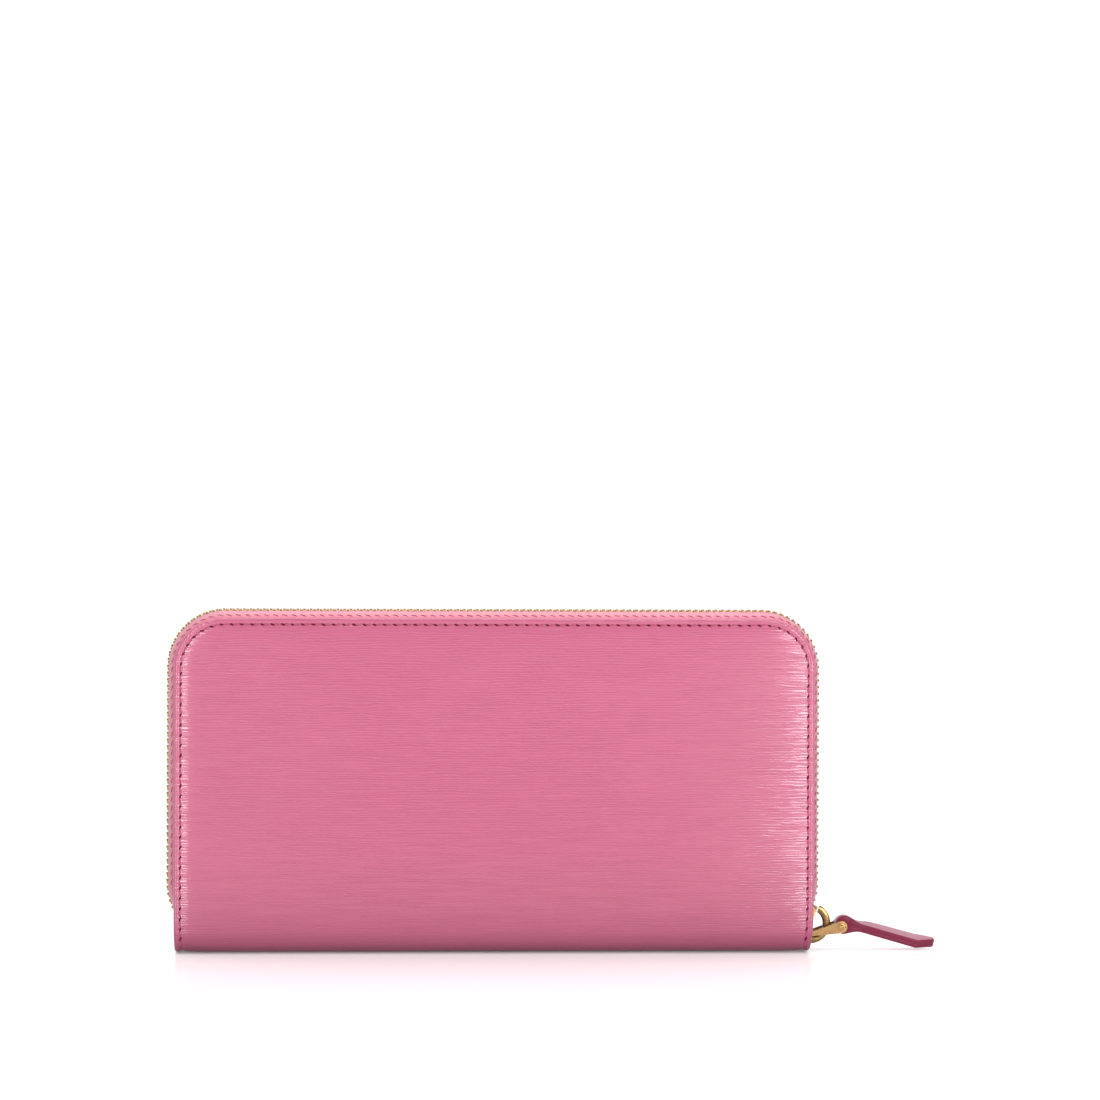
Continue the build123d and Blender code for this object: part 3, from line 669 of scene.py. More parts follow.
def seam(name, side, inset=1.9, pitch=3.02):
    soup = Soup()
    path = seam_path(inset)
    knots, s, at = resample(path, pitch)
    total = s[-1]

    def point(a):
        return np.array([np.interp(a, s, path[:, 0]), np.interp(a, s, path[:, 1])])

    def lift(p, extra):
        y = surface_y(p[0], p[1], inset)
        return np.array([p[0], side * (y + extra), p[1]])

    for k in range(len(knots) - 1):
        a0, a1 = at[k] + 0.60, at[k + 1] - 0.50
        q = np.linspace(a0, a1, 7)
        jitter = rng.normal(0, 0.03)
        tilt = 0.16 + rng.normal(0, 0.03)
        line = []
        for i, a in enumerate(q):
            p = point(a)
            t = point(a + 0.05) - point(a - 0.05)
            t /= np.linalg.norm(t)
            nrm = np.array([t[1], -t[0]])
            w = i / 6
            p = p + nrm * (jitter + tilt * (0.5 - w) * 2)
            line.append(lift(p, -0.20 + 0.33 * math.sin(math.pi * min(1, max(0, w))) ** 0.5))
        v, f = tube(line, [.10, .19, .22, .23, .22, .19, .10], 8, 0.8)
        soup.add(v, f, 0)
    # needle slits: dark slivers on the surface, painted shade for the stitch holes
    for k in range(1, len(knots) - 1):
        a = at[k] + 0.06 + rng.normal(0, 0.05)
        p = point(a)
        t = point(a + 0.05) - point(a - 0.05)
        t /= np.linalg.norm(t)
        nrm = np.array([t[1], -t[0]])
        ang = math.radians(24 + rng.normal(0, 4))
        dirn = math.cos(ang) * t + math.sin(ang) * nrm
        size = 0.80 + rng.normal(0, 0.07)
        line = [lift(p + dirn * size * w, 0.02 + 0.10 * (1 - w * w)) for w in (-1, -.7, -.35, 0, .35, .7, 1)]
        v, f = tube(line, [.07, .20, .28, .31, .28, .20, .07], 8, 0.5, up=(0, 1, 0))
        soup.add(v, f, 1)
    return soup.make(name, [M_THREAD, M_SLIT_SHADE])


front_seam = seam("seam_front", -1)
back_seam = seam("seam_back", 1)


# ------------------------------------------------------------------ zip tapes
def tape_section(d):
    """Points across a tape from the teeth out to the seam inside the cover: (y, outward)."""
    return [(1.95, 0.0), (2.6, 0.02), (3.6, 0.06), (5.0, 0.0), (6.5, -0.28), (8.2, -0.72), (9.8, -1.22), (10.9, -1.75), (10.95, -3.4)]


def tape(name, side):
    th = 0.55
    END = L4 + 8.2
    ds = np.concatenate([np.arange(-END, -L2 + 1e-6, 1.4), np.arange(-L2, -L1, 0.7), np.linspace(-L1, L1, 70), np.arange(L1 + .7, L2, 0.7), np.arange(L2, END, 1.4), [END]])
    V, U = [], []
    sec = tape_section(0)
    m = len(sec)
    for k, d in enumerate(ds):
        x, z, tx, tz = chain(d)
        n = np.array([-tz, tx]) if True else None
        # outward normal in x and z
        if np.dot(n, np.array([x, z - 45.0])) < 0:
            n = -n
        past = abs(d) - L3
        inn = 1.0
        end = min(1.0, max(0.0, (END - abs(d)) / 3.0))
        trim = 1 - math.sqrt(max(0, 1 - (1 - end) ** 2))
        aside = spread(d - TAIL) if d > TAIL else 0.0
        wav = 0.05 * math.sin(d * 0.9) + 0.04 * math.sin(d * 0.37 + 1)
        ring = []
        for j, (y, off) in enumerate(sec):
            yy = y + aside * (1 - j / (m - 1)) if j < m - 2 else y
            if past > 0:
                off = off * (1 - 0.3 * min(1, past / 8))
            o = off + wav * math.sin(math.pi * j / (m - 1))
            ring.append((x + n[0] * o, side * min(yy, 10.95), z + n[1] * o, n))
        for j in range(m):
            px, py, pz, nn = ring[j]
            V.append((px + nn[0] * th / 2, py, pz + nn[1] * th / 2))
            U.append((d, sec[j][0]))
        for j in range(m - 1, -1, -1):
            px, py, pz, nn = ring[j]
            V.append((px - nn[0] * th / 2, py if j < m - 1 else py, pz - nn[1] * th / 2))
            U.append((d, sec[j][0]))
    n = 2 * m
    faces = []
    for k in range(len(ds) - 1):
        for j in range(n):
            a, b = k * n + j, k * n + (j + 1) % n
            faces.append((a, b, b + n, a + n))
    faces.append(tuple(range(n))[::-1])
    faces.append(tuple((len(ds) - 1) * n + j for j in range(n)))
    o = mesh_object(name, V, faces, M_TAPE, U)
    fix_normals(o)
    return o, ds


front_tape, tape_ds = tape("zip_tape_front", -1)
back_tape, _ = tape("zip_tape_back", 1)


def tape_extras(name, side):
    """The tape's edge cord that the teeth grip, and the slanted stitches that sew the tape in."""
    soup = Soup()
    pts = []
    for d in np.concatenate([np.arange(-L4 - 8, L4 + 8, 1.0)]):
        x, z, tx, tz = chain(d)
        a = spread(d - TAIL) if d > TAIL else 0.0
        pts.append((x, side * (2.1 + a), z))
    v, f = tube(pts, 0.48, 8)
    soup.add(v, f, 0, np.repeat([[p[0], p[2]] for p in pts], 8, axis=0))
    for d in np.arange(-170, 170, 2.75):
        x, z, tx, tz = chain(d)
        n = np.array([-tz, tx])
        if np.dot(n, np.array([x, z - 45.0])) < 0:
            n = -n
        t = np.array([tx, tz])
        line = []
        for w in (-1, -.6, -.2, .2, .6, 1):
            y = 9.5 + 0.62 * w
            off = np.interp(y, [q[0] for q in tape_section(0)], [q[1] for q in tape_section(0)]) + 0.30 + 0.10 * (1 - w * w)
            c = np.array([x, z]) + n * off + t * (0.85 * w)
            line.append((c[0], side * y, c[1]))
        v, f = tube(line, [.07, .14, .16, .16, .14, .07], 6, 0.8)
        soup.add(v, f, 1)
    return soup.make(name, [M_TAPE, M_THREAD])


front_extras = tape_extras("zip_tape_cord_front", -1)
back_extras = tape_extras("zip_tape_cord_back", 1)


# ------------------------------------------------------------------ teeth
def tooth_shape():
    """One tooth in its own axes (across, out, along): clamp legs, waist, and a rounded head."""
    bm = bmesh.new()
    outline = [(-2.2, -0.98), (-1.95, -1.06), (-1.25, -1.0), (-0.85, -0.72), (0.25, -0.68), (0.55, -0.5), (0.66, 0.0), (0.55, 0.5), (0.25, 0.68), (-0.85, 0.72), (-1.25, 1.0), (-1.95, 1.06), (-2.2, 0.98), (-2.28, 0.0)]
    layers = [(-0.40, 0.86), (-0.33, 0.97), (-0.18, 1.0), (0.18, 1.0), (0.33, 0.97), (0.40, 0.86)]
    c = np.array([-0.8, 0.0])
    rings = []
    for h, s in layers:
        ring = [bm.verts.new(tuple(np.append(c + (np.array(p) - c) * s, h))) for p in outline]
        rings.append(ring)
    n = len(outline)
    for a, b in zip(rings, rings[1:]):
        for k in range(n):
            bm.faces.new((a[k], a[(k + 1) % n], b[(k + 1) % n], b[k]))
    for ring, flip, h in ((rings[0], True, -0.40), (rings[-1], False, 0.40)):
        # a flat inset ring on each end face
        f = bm.faces.new(ring[::-1] if flip else ring)
        ins = bmesh.ops.inset_region(bm, faces=[f], thickness=0.16, depth=0)
    bmesh.ops.recalc_face_normals(bm, faces=bm.faces)
    bm.verts.index_update()
    v = np.array([list(x.co) for x in bm.verts])
    fs = [tuple(w.index for w in f.verts) for f in bm.faces]
    bm.free()
    return v, fs


TOOTH_V, TOOTH_F = tooth_shape()


def place_tooth(soup, d, side):
    x, z, tx, tz = chain(d)
    n = np.array([-tz, 0, tx])
    if np.dot(n, (x, 0, z - 45.0)) < 0:
        n = -n
    t = np.array([tx, 0, tz])
    aside = spread(d - TAIL) if d > TAIL else 0.0
    o = np.array([x, side * aside, z])
    ax = np.array([0, -side, 0.0])
    tw = rng.normal(0, 0.02)
    nn, tt = n * math.cos(tw) + t * math.sin(tw), t * math.cos(tw) - n * math.sin(tw)
    v = o + TOOTH_V[:, 0:1] * ax + TOOTH_V[:, 1:2] * nn + TOOTH_V[:, 2:3] * tt
    soup.add(v, TOOTH_F)


def teeth(name, ds, sides):
    soup = Soup()
    for d, s in zip(ds, sides):
        place_tooth(soup, float(d), s)
    o = soup.make(name, [M_TEETH])
    fix_normals(o)
    return o


fd = list(range(-172, 173, 2))
bd = list(range(-173, 174, 2))
front_teeth = teeth("zip_teeth_front", fd, [-1] * len(fd))
back_teeth = teeth("zip_teeth_back", bd, [1] * len(bd))
er = list(range(174, 186))
right_teeth = teeth("zip_teeth_right_end", er, [-1 if d % 2 == 0 else 1 for d in er])
el = list(range(174, 180))
left_teeth = teeth("zip_teeth_left_end", [-d for d in el], [-1 if d % 2 == 0 else 1 for d in el])
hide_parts("front_zip_teeth")
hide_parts("back_zip_teeth")
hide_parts("right_end_teeth")
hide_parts("left_end_teeth")
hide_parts("front_zip_tape", "right_tape_ends", "left_tape_ends")
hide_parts("back_zip_tape", "right_tape_ends", "left_tape_ends")

# ------------------------------------------------------------------ slider with its arched crown
px, pz, ptx, ptz = chain(PARK)
lean = END_A
OUT = np.array([math.cos(lean), 0, -math.sin(lean)])
UP = np.array([math.sin(lean), 0, math.cos(lean)])
Y = np.array([0, 1.0, 0])


def slider(name, centre, up, out, length, hw, crown_r, crown_in, crown_hy, gap):
    half = length / 2
    CH, TP = 1.25, 2.25
    outline = round_poly([(-half, -hw * .78), (-half + 1.6, -hw), (half * .15, -hw), (half, -hw * .72), (half, hw * .72), (half * .15, hw), (-half + 1.6, hw), (-half, hw * .78)], [1.3, 1.6, 2.5, 1.2, 1.2, 2.5, 1.6, 1.3])
    inner = round_poly([(-half - .0, -hw * .78 + .62), (-half + 1.6, -hw + .62), (half * .15, -hw + .62), (half - .0, -hw * .72 + .62), (half - .0, hw * .72 - .62), (half * .15, hw - .62), (-half + 1.6, hw - .62), (-half - .0, hw * .78 - .62)], [1.0] * 8)
    soup = Soup()
    for s in (1, -1):
        v, f = plate(outline, s * CH, s * TP, centre, up, Y, out)
        soup.add(v, f if s > 0 else [q[::-1] for q in f])
        for w in (1, -1):
            wall = [(-half + .35, w * (hw * .78 + .2)), (-half + 1.7, w * (hw - .04)), (half * .15, w * (hw - .04)), (half - .5, w * (hw * .74 + .12)), (half - .5, w * (hw * .74 - .45)), (half * .15, w * (hw - .62)), (-half + 1.7, w * (hw - .62)), (-half + .35, w * (hw * .78 - .4))]
            v, f = plate(wall if w > 0 else wall[::-1], s * .48, s * (CH + .1), centre, up, Y, out)
            soup.add(v, f if s > 0 else [q[::-1] for q in f])
    post = round_poly([(-half + .1, -.5), (-half + 1.6, -.75), (-half + 3.2, -.45), (-half + 4.4, -.15), (-half + 4.4, .15), (-half + 3.2, .45), (-half + 1.6, .75), (-half + .1, .5)], .3, 2)
    v, f = plate(post, -CH - .1, CH + .1, centre, up, Y, out)
    soup.add(v, f)
    body = soup.make(name + "_body", [M_GOLD])
    fix_normals(body)
    bevel(body, 0.16, 2)
    # crown: a flat arch, fixed at its lower foot, its other end cut short of the plate
    soup = Soup()
    w, e = crown_hy, 0.22
    sec = [(crown_in, -w + e), (crown_in + e, -w), (crown_r - e, -w), (crown_r, -w + e), (crown_r, w - e), (crown_r - e, w), (crown_in + e, w), (crown_in, w - e)]
    n = 40
    rings = []
    for k in range(n + 1):
        t = k / n
        ring = []
        for r, y in sec:
            a0 = -math.pi / 2 - math.asin(0.25 / r)
            a1 = math.acos(gap / r) if gap > 0 else math.pi / 2 + math.asin(0.25 / r)
            a = a0 + (a1 - a0) * t
            p = centre + out * (TP + r * math.cos(a)) + up * (r * math.sin(a)) + Y * y
            ring.append(p)
        rings.append(ring)
    V = np.array(rings).reshape(-1, 3)
    m = len(sec)
    F = [(k * m + j, k * m + (j + 1) % m, (k + 1) * m + (j + 1) % m, (k + 1) * m + j) for k in range(n) for j in range(m)]
    F += [tuple(range(m))[::-1], tuple(n * m + j for j in range(m))]
    soup.add(V, F)
    crown = soup.make(name + "_crown", [M_CROWN_SHADED_GOLD])
    fix_normals(crown)
    bevel(crown, 0.07, 2, 50)
    crown.parent = body
    return body, crown


main_slider, main_crown = slider("main_slider", np.array([px, 0, pz]), UP, OUT, 11.0, 4.5, 6.1, 3.9, 1.1, 0.85)
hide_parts("zip_slider")

# ------------------------------------------------------------------ shackle, pin, tab
crown_c = np.array(joints["pull_swing"]["pos_m"]) * 1000
pin_c = np.array(joints["tab_swing"]["pos_m"]) * 1000
bow_a = math.radians(-91)
BOW = crown_c + 3.12 * np.array([math.cos(bow_a), 0, math.sin(bow_a)])
arm = pin_c - BOW
reach = float(np.linalg.norm(arm))
arm = arm / reach
perp = np.array([-arm[2], 0, arm[0]])
soup = Soup()
tilt = math.asin((1.85 - 0.62) / reach)
out_pts = []
for a in np.linspace(math.pi / 2 + tilt, 3 * math.pi / 2 - tilt, 12):
    out_pts.append((0.62 * math.cos(a), 0.62 * math.sin(a)))
for a in np.linspace(-math.pi / 2 - tilt, math.pi / 2 + tilt, 26):
    out_pts.append((reach + 1.85 * math.cos(a), 1.85 * math.sin(a)))
for y0, y1 in ((2.6, 3.4), (-3.4, -2.6)):
    v, f = plate(out_pts, y0, y1, BOW, arm, perp, Y)
    soup.add(v, f)
# the bow bar curls into the arms at both ends
line, rad = [], []
for w in np.linspace(-1, 1, 21):
    y = 3.0 * w
    line.append(BOW + Y * y + arm * (0.35 * abs(w) ** 6))
    rad.append(0.6)
v, f = tube(line, rad, 14, up=(1, 0, 0))
soup.add(v, f)
shackle = soup.make("pull_shackle_arms", [M_GOLD])
fix_normals(shackle)
bevel(shackle, 0.16, 3, 40)
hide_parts("puller_shackle")

soup = Soup()


def turned(profile, centre, axis, a, b, sides=28):
    """Surface of revolution: profile is (along, radius) from one end to the other."""
    V, F = [], []
    for h, r in profile:
        for k in range(sides):
            w = 2 * math.pi * k / sides
            V.append(centre + axis * h + r * (math.cos(w) * a + math.sin(w) * b))
    n = len(profile)
    for i in range(n - 1):
        for k in range(sides):
            F.append((i * sides + k, i * sides + (k + 1) % sides, (i + 1) * sides + (k + 1) % sides, (i + 1) * sides + k))
    F.append(tuple(range(sides))[::-1])
    F.append(tuple((n - 1) * sides + k for k in range(sides)))
    return np.array(V), F


X, Z = np.array([1.0, 0, 0]), np.array([0, 0, 1.0])
# a riveted head: rounded collar, a small step and a peened middle
head = [(3.40, 0.80), (3.42, 1.15), (3.56, 1.15), (3.63, 1.08), (3.65, 0.98), (3.65, 0.74), (3.53, 0.68), (3.53, 0.58), (3.66, 0.52), (3.71, 0.38), (3.72, 0.10)]
prof = [(-h, r) for h, r in head[::-1]] + head
v, f = turned(prof, pin_c, Y, X, Z)
soup.add(v, f)
pin = soup.make("pull_pin_rivet", [M_GOLD], False)
fix_normals(pin)
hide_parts("puller_pin")

# the tab: one strip of leather looped round the pin, glued to itself and edge-painted
ta = math.radians(-13.5)
TX, TZ = np.array([math.cos(ta), 0, math.sin(ta)]), np.array([-math.sin(ta), 0, math.cos(ta)])
TL, HR, HX, HZ, OFFC, TT = 28.6, 2.85, 0.9, 0.8, 1.25, 2.5


def tab_half_width(x):
    xs = [-4, 2.0, 3.0, 4.6, 6.5, 9.5, 14, TL - 5.3, TL - 5.1, TL - 0.5, TL]
    ws = [2.42, 2.42, 2.58, 3.2, 3.75, 4.15, 4.45, 4.74, 4.62, 1.95, 1.5]
    return float(np.interp(x, xs, ws))


def tab_section(x):
    """Top and bottom of the tab at a station along it."""
    u, lw = OFFC + TT / 2, OFFC - TT / 2
    if x <= HX:
        c = math.sqrt(max(0.0, HR * HR - (x - HX) ** 2))
        return HZ + c, HZ - c
    t = float(smooth((x - HX) / (8.2 - HX)))
    head_top = HZ + HR
    head_bot = HZ - HR
    t2 = min(1.0, (x - HX) / 5.2)
    top = head_top + (u - head_top) * (t2 ** 1.6 * (3 - 2 * t2) if t2 < 1 else 1)
    top = head_top + (u - head_top) * float(smooth(t2)) ** 0.9
    bot = head_bot + (lw - head_bot) * float(smooth(t2)) ** 0.8
    return top, bot


stations = list(HX - HR * np.cos(np.linspace(0.02, math.pi / 2, 14))) + list(np.arange(1.3, 9, 0.45)) + list(np.arange(9.5, TL - 5.6, 1.0)) + [TL - 5.55, TL - 5.32, TL - 5.2, TL - 5.08, TL - 4.85] + list(np.linspace(TL - 4.4, TL - 0.5, 9)) + [TL - 0.35, TL - 0.2, TL - 0.08, TL]
V, U, FM = [], [], []
ne = 20
for x in stations:
    top, bot = tab_section(x)
    w = tab_half_width(x)
    # the strap droops a little more than its joint's line, then its end lies flat on the table
    droop = -0.041 * max(0.0, x - 2.0) + 0.27 * max(0.0, x - (TL - 5.6)) * float(smooth((x - (TL - 6.4)) / 2.0))
    mid, hh = (top + bot) / 2 + droop, (top - bot) / 2
    near_end = max(0.0, (x - (TL - 0.35)) / 0.35)
    endr = 1 - 0.22 * (1 - math.sqrt(max(0, 1 - near_end ** 2)))
    hh2, w2 = hh * endr, w * (1 - 0.05 * (1 - math.sqrt(max(0, 1 - near_end ** 2))))
    r = min(0.42, hh2 * 0.35)
    ring = []
    # top face, round to the painted edge with a shallow seam line, then the bottom face
    side_pts = [(w2 - 1.1, hh2), (w2 - r, hh2 - 0.02), (w2 - r * 0.3, hh2 - r * 0.3), (w2, hh2 - r), (w2, 0.16), (w2 - 0.10, 0.0), (w2, -0.16), (w2, -hh2 + r), (w2 - r * 0.3, -hh2 + r * 0.3), (w2 - r, -hh2 + 0.02), (w2 - 1.1, -hh2)]
    crown = [(w2 * 0.45, hh2 + 0.04), (0, hh2 + 0.06), (-w2 * 0.45, hh2 + 0.04)]
    under = [(-w2 * 0.45, -hh2 - 0.0), (0, -hh2 - 0.0), (w2 * 0.45, -hh2 - 0.0)]
    loop = side_pts + under[::-1] + [(-a, b) for a, b in side_pts[::-1]] + crown[::-1]
    roll = math.radians(7.5) * float(smooth((x - 2.4) / 7.0))
    for a, b in loop:
        da, db = a + w2, b + hh2
        a2, b2 = -w2 + da * math.cos(roll) - db * math.sin(roll) * 0.6, -hh2 + db * math.cos(roll) + da * math.sin(roll)
        V.append(pin_c + TX * x + TZ * (mid + b2) + Y * a2)
        U.append((x * 1.0 + 600, a))
m = len(loop)
F = []
for k in range(len(stations) - 1):
    for j in range(m):
        F.append((k * m + j, k * m + (j + 1) % m, (k + 1) * m + (j + 1) % m, (k + 1) * m + j))
        FM.append(1 if (1 <= j <= 8 or 15 <= j <= 22) else 0)
F += [tuple(range(m))[::-1], tuple((len(stations) - 1) * m + j for j in range(m))]
FM += [1, 1]
tab = mesh_object("pull_tab_leather", V, F, [M_TAB, M_TABEDGE], U, FM)
fix_normals(tab)
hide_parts("puller_tab")

# ------------------------------------------------------------------ inside: soft gussets at both ends of each cover
for side, tag in ((-1, "front"), (1, "back")):
    for sx, hand in ((1, "right"), (-1, "left")):
        node = f"gusset_{tag}_{hand}"
        ob = frame["nodes"][node]
        pts = [(91.8, 9.9), (90.6, 8.8), (88.9, 7.75), (82, 6.9), (76.3, 6.25), (75.0, 5.7), (76.3, 5.15), (80.5, 4.5), (84.6, 4.0)]
        V, U = [], []
        zs = np.linspace(6.5, 71.0, 30)
        for z in zs:
            wob = 0.25 * math.sin(z * 0.21 + sx + side)
            for off in (0.22, -0.22):
                seq = pts if off > 0 else pts[::-1]
                for k, (x, y) in enumerate(seq):
                    c = math.sin(math.pi * (k / 8)) * wob
                    V.append((sx * (x + c), side * (y + off), z))
                    U.append((x * 2, z))
        m = 2 * len(pts)
        F = [(k * m + j, k * m + (j + 1) % m, (k + 1) * m + (j + 1) % m, (k + 1) * m + j) for k in range(len(zs) - 1) for j in range(m)]
        F += [tuple(range(m))[::-1], tuple((len(zs) - 1) * m + j for j in range(m))]
        g = mesh_object(node + "_soft", V, F, M_GUSSET, U)
        fix_normals(g)
        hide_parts(node)
        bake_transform(g)


# ------------------------------------------------------------------ inside: linings, card leaves, coin purse
def outline_of(node):
    """Top and bottom edge of a flat node as functions of x, read from its own corners."""
    me = frame["nodes"][node].data
    co = np.array([v.co[:] for v in me.vertices]) * 1000
    mid = (co[:, 2].min() + co[:, 2].max()) / 2
    edges = []
    for part, pick in ((co[co[:, 2] > mid], max), (co[co[:, 2] <= mid], min)):
        at_x = {}
        for x, _, z in part:
            x = round(float(x), 3)
            at_x[x] = pick(at_x.get(x, float(z)), float(z))
        xs = np.array(sorted(at_x))
        edges.append((xs, np.array([at_x[x] for x in xs])))
    return edges


def stitch_row(soup, pts, normal, half, thick, mat):
    """Short thread stitches along points, each a flattened capsule lying on the surface."""
    pts = np.asarray(pts, float)
    normal = np.asarray(normal, float)
    for k in range(len(pts) - 1):
        d = pts[k + 1] - pts[k]
        d /= np.linalg.norm(d)
        c = (pts[k] + pts[k + 1]) / 2 + normal * 0.03
        line = [c + d * half * s - normal * 0.06 * abs(s) ** 3 for s in (-1, -0.6, 0, 0.6, 1)]
        v, f = tube(line, [thick * r for r in (0.5, 0.9, 1.0, 0.9, 0.5)], 6, 0.7, True, normal)
        soup.add(v, f, mat)


def panel(node, body, mats, face, strip, swells, seam_x=(), groove=1.3, hem=True):
    """A thin leather or cloth leaf: rolled edge, creased hem line, softly swelled pockets, sewn seams.
    face is the y direction that shows, strip how far down from the top edge it shows."""
    (tx, tz), (bx, bz) = outline_of(node)
    lo, hi = mm(node)
    y_show, y_hide = (hi[1], lo[1]) if face > 0 else (lo[1], hi[1])
    t = hi[1] - lo[1]
    xs = np.unique(np.round(np.concatenate([np.linspace(lo[0], hi[0], 89), tx, bx, [lo[0] + 0.12, lo[0] + 0.4, hi[0] - 0.12, hi[0] - 0.4]]), 3))
    xs = np.array([x for k, x in enumerate(xs) if k == 0 or x - xs[k - 1] > 0.03 or k == len(xs) - 1])
    down = [0, 0.06, 0.18, 0.4, 0.8, groove - 0.22, groove, groove + 0.22, groove + 0.6, 3.0, 5.0, 7.5, 10.5]
    width = hi[0] - lo[0]
    V, U, cols = [], [], []
    for x in xs:
        zt, zb = float(np.interp(x, tx, tz)), float(np.interp(x, bx, bz))
        zs = [zt - d for d in down] + list(np.linspace(zt - 14, zb + 0.4, 10)) + [zb + 0.12, zb]
        side_d = min(x - lo[0], hi[0] - x)
        show, hide = [], []
        for z in zs:
            d = zt - z
            e = min(d, z - zb, side_d)
            round_off = t * 0.42 * (1 - math.sqrt(max(0.0, 1 - (1 - min(e / 0.3, 1.0)) ** 2)))
            dip = 0.07 * math.exp(-((d - groove) / 0.16) ** 2) if hem else 0.0
            for sx in seam_x:
                dip += 0.06 * math.exp(-((x - sx) / 0.9) ** 2)
            s = 0.0
            if d < strip:
                pockets = sorted([lo[0], *seam_x, hi[0]])
                for a, b in zip(pockets[:-1], pockets[1:]):
                    if a <= x <= b and b - a > 8:
                        s = swells * math.sin(math.pi * (x - a) / (b - a)) ** 0.7 * math.sin(math.pi * min(max(d / strip, 0), 1)) ** 0.8
            s += 0.012 * math.sin(x * 0.23 + z * 0.11) + 0.01 * math.sin(x * 0.71 - z * 0.37)
            show.append((x, y_show + face * (s - round_off - dip), z))
            hide.append((x, y_hide + face * round_off, z))
        cols.append(len(zs))
        V += show + hide
        U += [(p[0], p[2]) for p in show + hide]
    n = cols[0]
    F, M = [], []
    for i in range(len(xs) - 1):
        a, b = i * 2 * n, (i + 1) * 2 * n
        for k in range(n - 1):
            F.append((a + k, b + k, b + k + 1, a + k + 1))
            M.append(1 if k < 2 else 0)
            F.append((a + n + k, a + n + k + 1, b + n + k + 1, b + n + k))
            M.append(1 if k < 2 else 0)
        F += [(a, a + n, b + n, b), (a + n - 1, b + n - 1, b + 2 * n - 1, a + 2 * n - 1)]
        M += [1, 1]
    for a in (0, (len(xs) - 1) * 2 * n):
        for k in range(n - 1):
            F.append((a + k, a + k + 1, a + n + k + 1, a + n + k))
            M.append(1)
    soup = Soup()
    soup.add(V, F, 0, U)
    soup.m = M
    for sx in seam_x:
        z = float(np.interp(sx, tx, tz))
        pts = [(sx, y_show - face * 0.04, z - 1.9 - 2.4 * k) for k in range(int((strip - 2.2) / 2.4) + 1)]
        if len(pts) > 1:
            stitch_row(soup, pts, (0, face, 0), 0.85, 0.14, 2)
    o = soup.make(node + "_soft", mats)
    fix_normals(o)
    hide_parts(node)
    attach(o, body)
    return o


for tag, side in (("front", -1), ("back", 1)):
    body = f"{tag}_cover"
    panel(f"{tag}_cover_lining", body, [M_LINING, M_LINING, M_THREAD], -side, 89, 0.0, (), 1.6)
    tops = [84.0, 73.0, 62.0, 51.0, 13.4]
    for k in (1, 2, 3, 4):
        panel(f"{tag}_card_slot_{k}", body, [M_LINCALF, M_EDGE_PAINT_AND_SHADE, M_THREAD], -side, tops[k - 1] - tops[k] - (0.6 if k < 4 else 0.0), 0.10 if k < 4 else 0.22, (-86.4, 0.0, 86.4))
    panel(f"coin_purse_{tag}", "spine", [M_LINCALF, M_EDGE_PAINT_AND_SHADE, M_THREAD], side, 60, 0.30, (-82.4, 82.4))


def ribbon_sheet(node, body, mats, path, stations, thick, place, ripple):
    """A folded sheet: path is its section, place puts a section point at a station."""
    path = np.asarray(path, float)
    tang = np.gradient(path, axis=0)
    tang /= np.linalg.norm(tang, axis=1)[:, None]
    nrm = np.stack([-tang[:, 1], tang[:, 0]], 1)
    run = np.concatenate([[0], np.cumsum(np.linalg.norm(np.diff(path, axis=0), axis=1))])
    V, U = [], []
    m = len(path)
    for s in stations:
        for sign, order in ((1, range(m)), (-1, range(m - 1, -1, -1))):
            for k in order:
                p = path[k] + nrm[k] * (sign * thick / 2 + ripple(s, run[k] / run[-1]))
                V.append(place(s, p, run[k] / run[-1]))
                U.append((s, run[k]))
    c = 2 * m
    F = [(i * c + j, i * c + (j + 1) % c, (i + 1) * c + (j + 1) % c, (i + 1) * c + j) for i in range(len(stations) - 1) for j in range(c)]
    for base, flip in ((0, False), ((len(stations) - 1) * c, True)):
        for k in range(m - 1):
            q = (base + k, base + k + 1, base + c - 2 - k, base + c - 1 - k)
            F.append(q[::-1] if flip else q)
    o = mesh_object(node + "_soft", V, F, mats, U)
    fix_normals(o)
    bevel(o, min(0.1, thick * 0.3), 2, 50)
    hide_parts(node)
    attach(o, body)
    return o


# the cloth in the bottom of the fold, a little puckered
r = FOLD - LEATHER - 0.2
o = TH - LEATHER - 0.2
base = LEATHER + 0.2
sect = [(-o, 7.55), (-o, base + r + 0.5)]
sect += [(-o + r - r * math.cos(a), base + r - r * math.sin(a)) for a in np.linspace(0, math.pi / 2, 9)]
sect += [(x, base) for x in np.linspace(-o + r + 1, o - r - 1, 7)]
sect += [(o - r + r * math.sin(a), base + r - r * math.cos(a)) for a in np.linspace(0, math.pi / 2, 9)]
sect += [(o, base + r + 0.5), (o, 7.55)]
lo, hi = mm("spine_lining")
ribbon_sheet("spine_lining", "spine", M_LINING, sect, np.linspace(lo[0] + 0.05, hi[0] - 0.05, 96), 0.36,
             lambda s, p, u: (s, p[0], p[1]),
             lambda s, u: 0.03 * math.sin(s * 0.61 + 5 * u) * math.sin(math.pi * u))

# the purse's folded gusset, one strip down one end, along the bottom and up the other
lo, hi = mm("coin_purse_gusset")
h, zt, zb = hi[0] - 0.32, hi[2], lo[2] + 0.32
track = [(-h, z) for z in np.linspace(zt, zb + 3, 14)]
track += [(-h + 2.5 - 2.5 * math.cos(a), zb + 2.5 - 2.5 * math.sin(a)) for a in np.linspace(0.2, math.pi / 2, 6)]
track += [(x, zb) for x in np.linspace(-h + 6, h - 6, 30)]
track += [(-x, z) for x, z in track[:20][::-1]]
track = np.array(track)
tt = np.gradient(track, axis=0)
tt /= np.linalg.norm(tt, axis=1)[:, None]
fold_in = smooth((track[:, 1] - zb - 4) / 16.0)


def gusset_place(s, p, u):
    k = int(s)
    inward = p[1] + 1.5 * fold_in[k] * max(0.0, 1 - abs(p[0]) / 2.6)
    return (track[k][0] - tt[k][1] * inward, p[0], track[k][1] + tt[k][0] * inward)


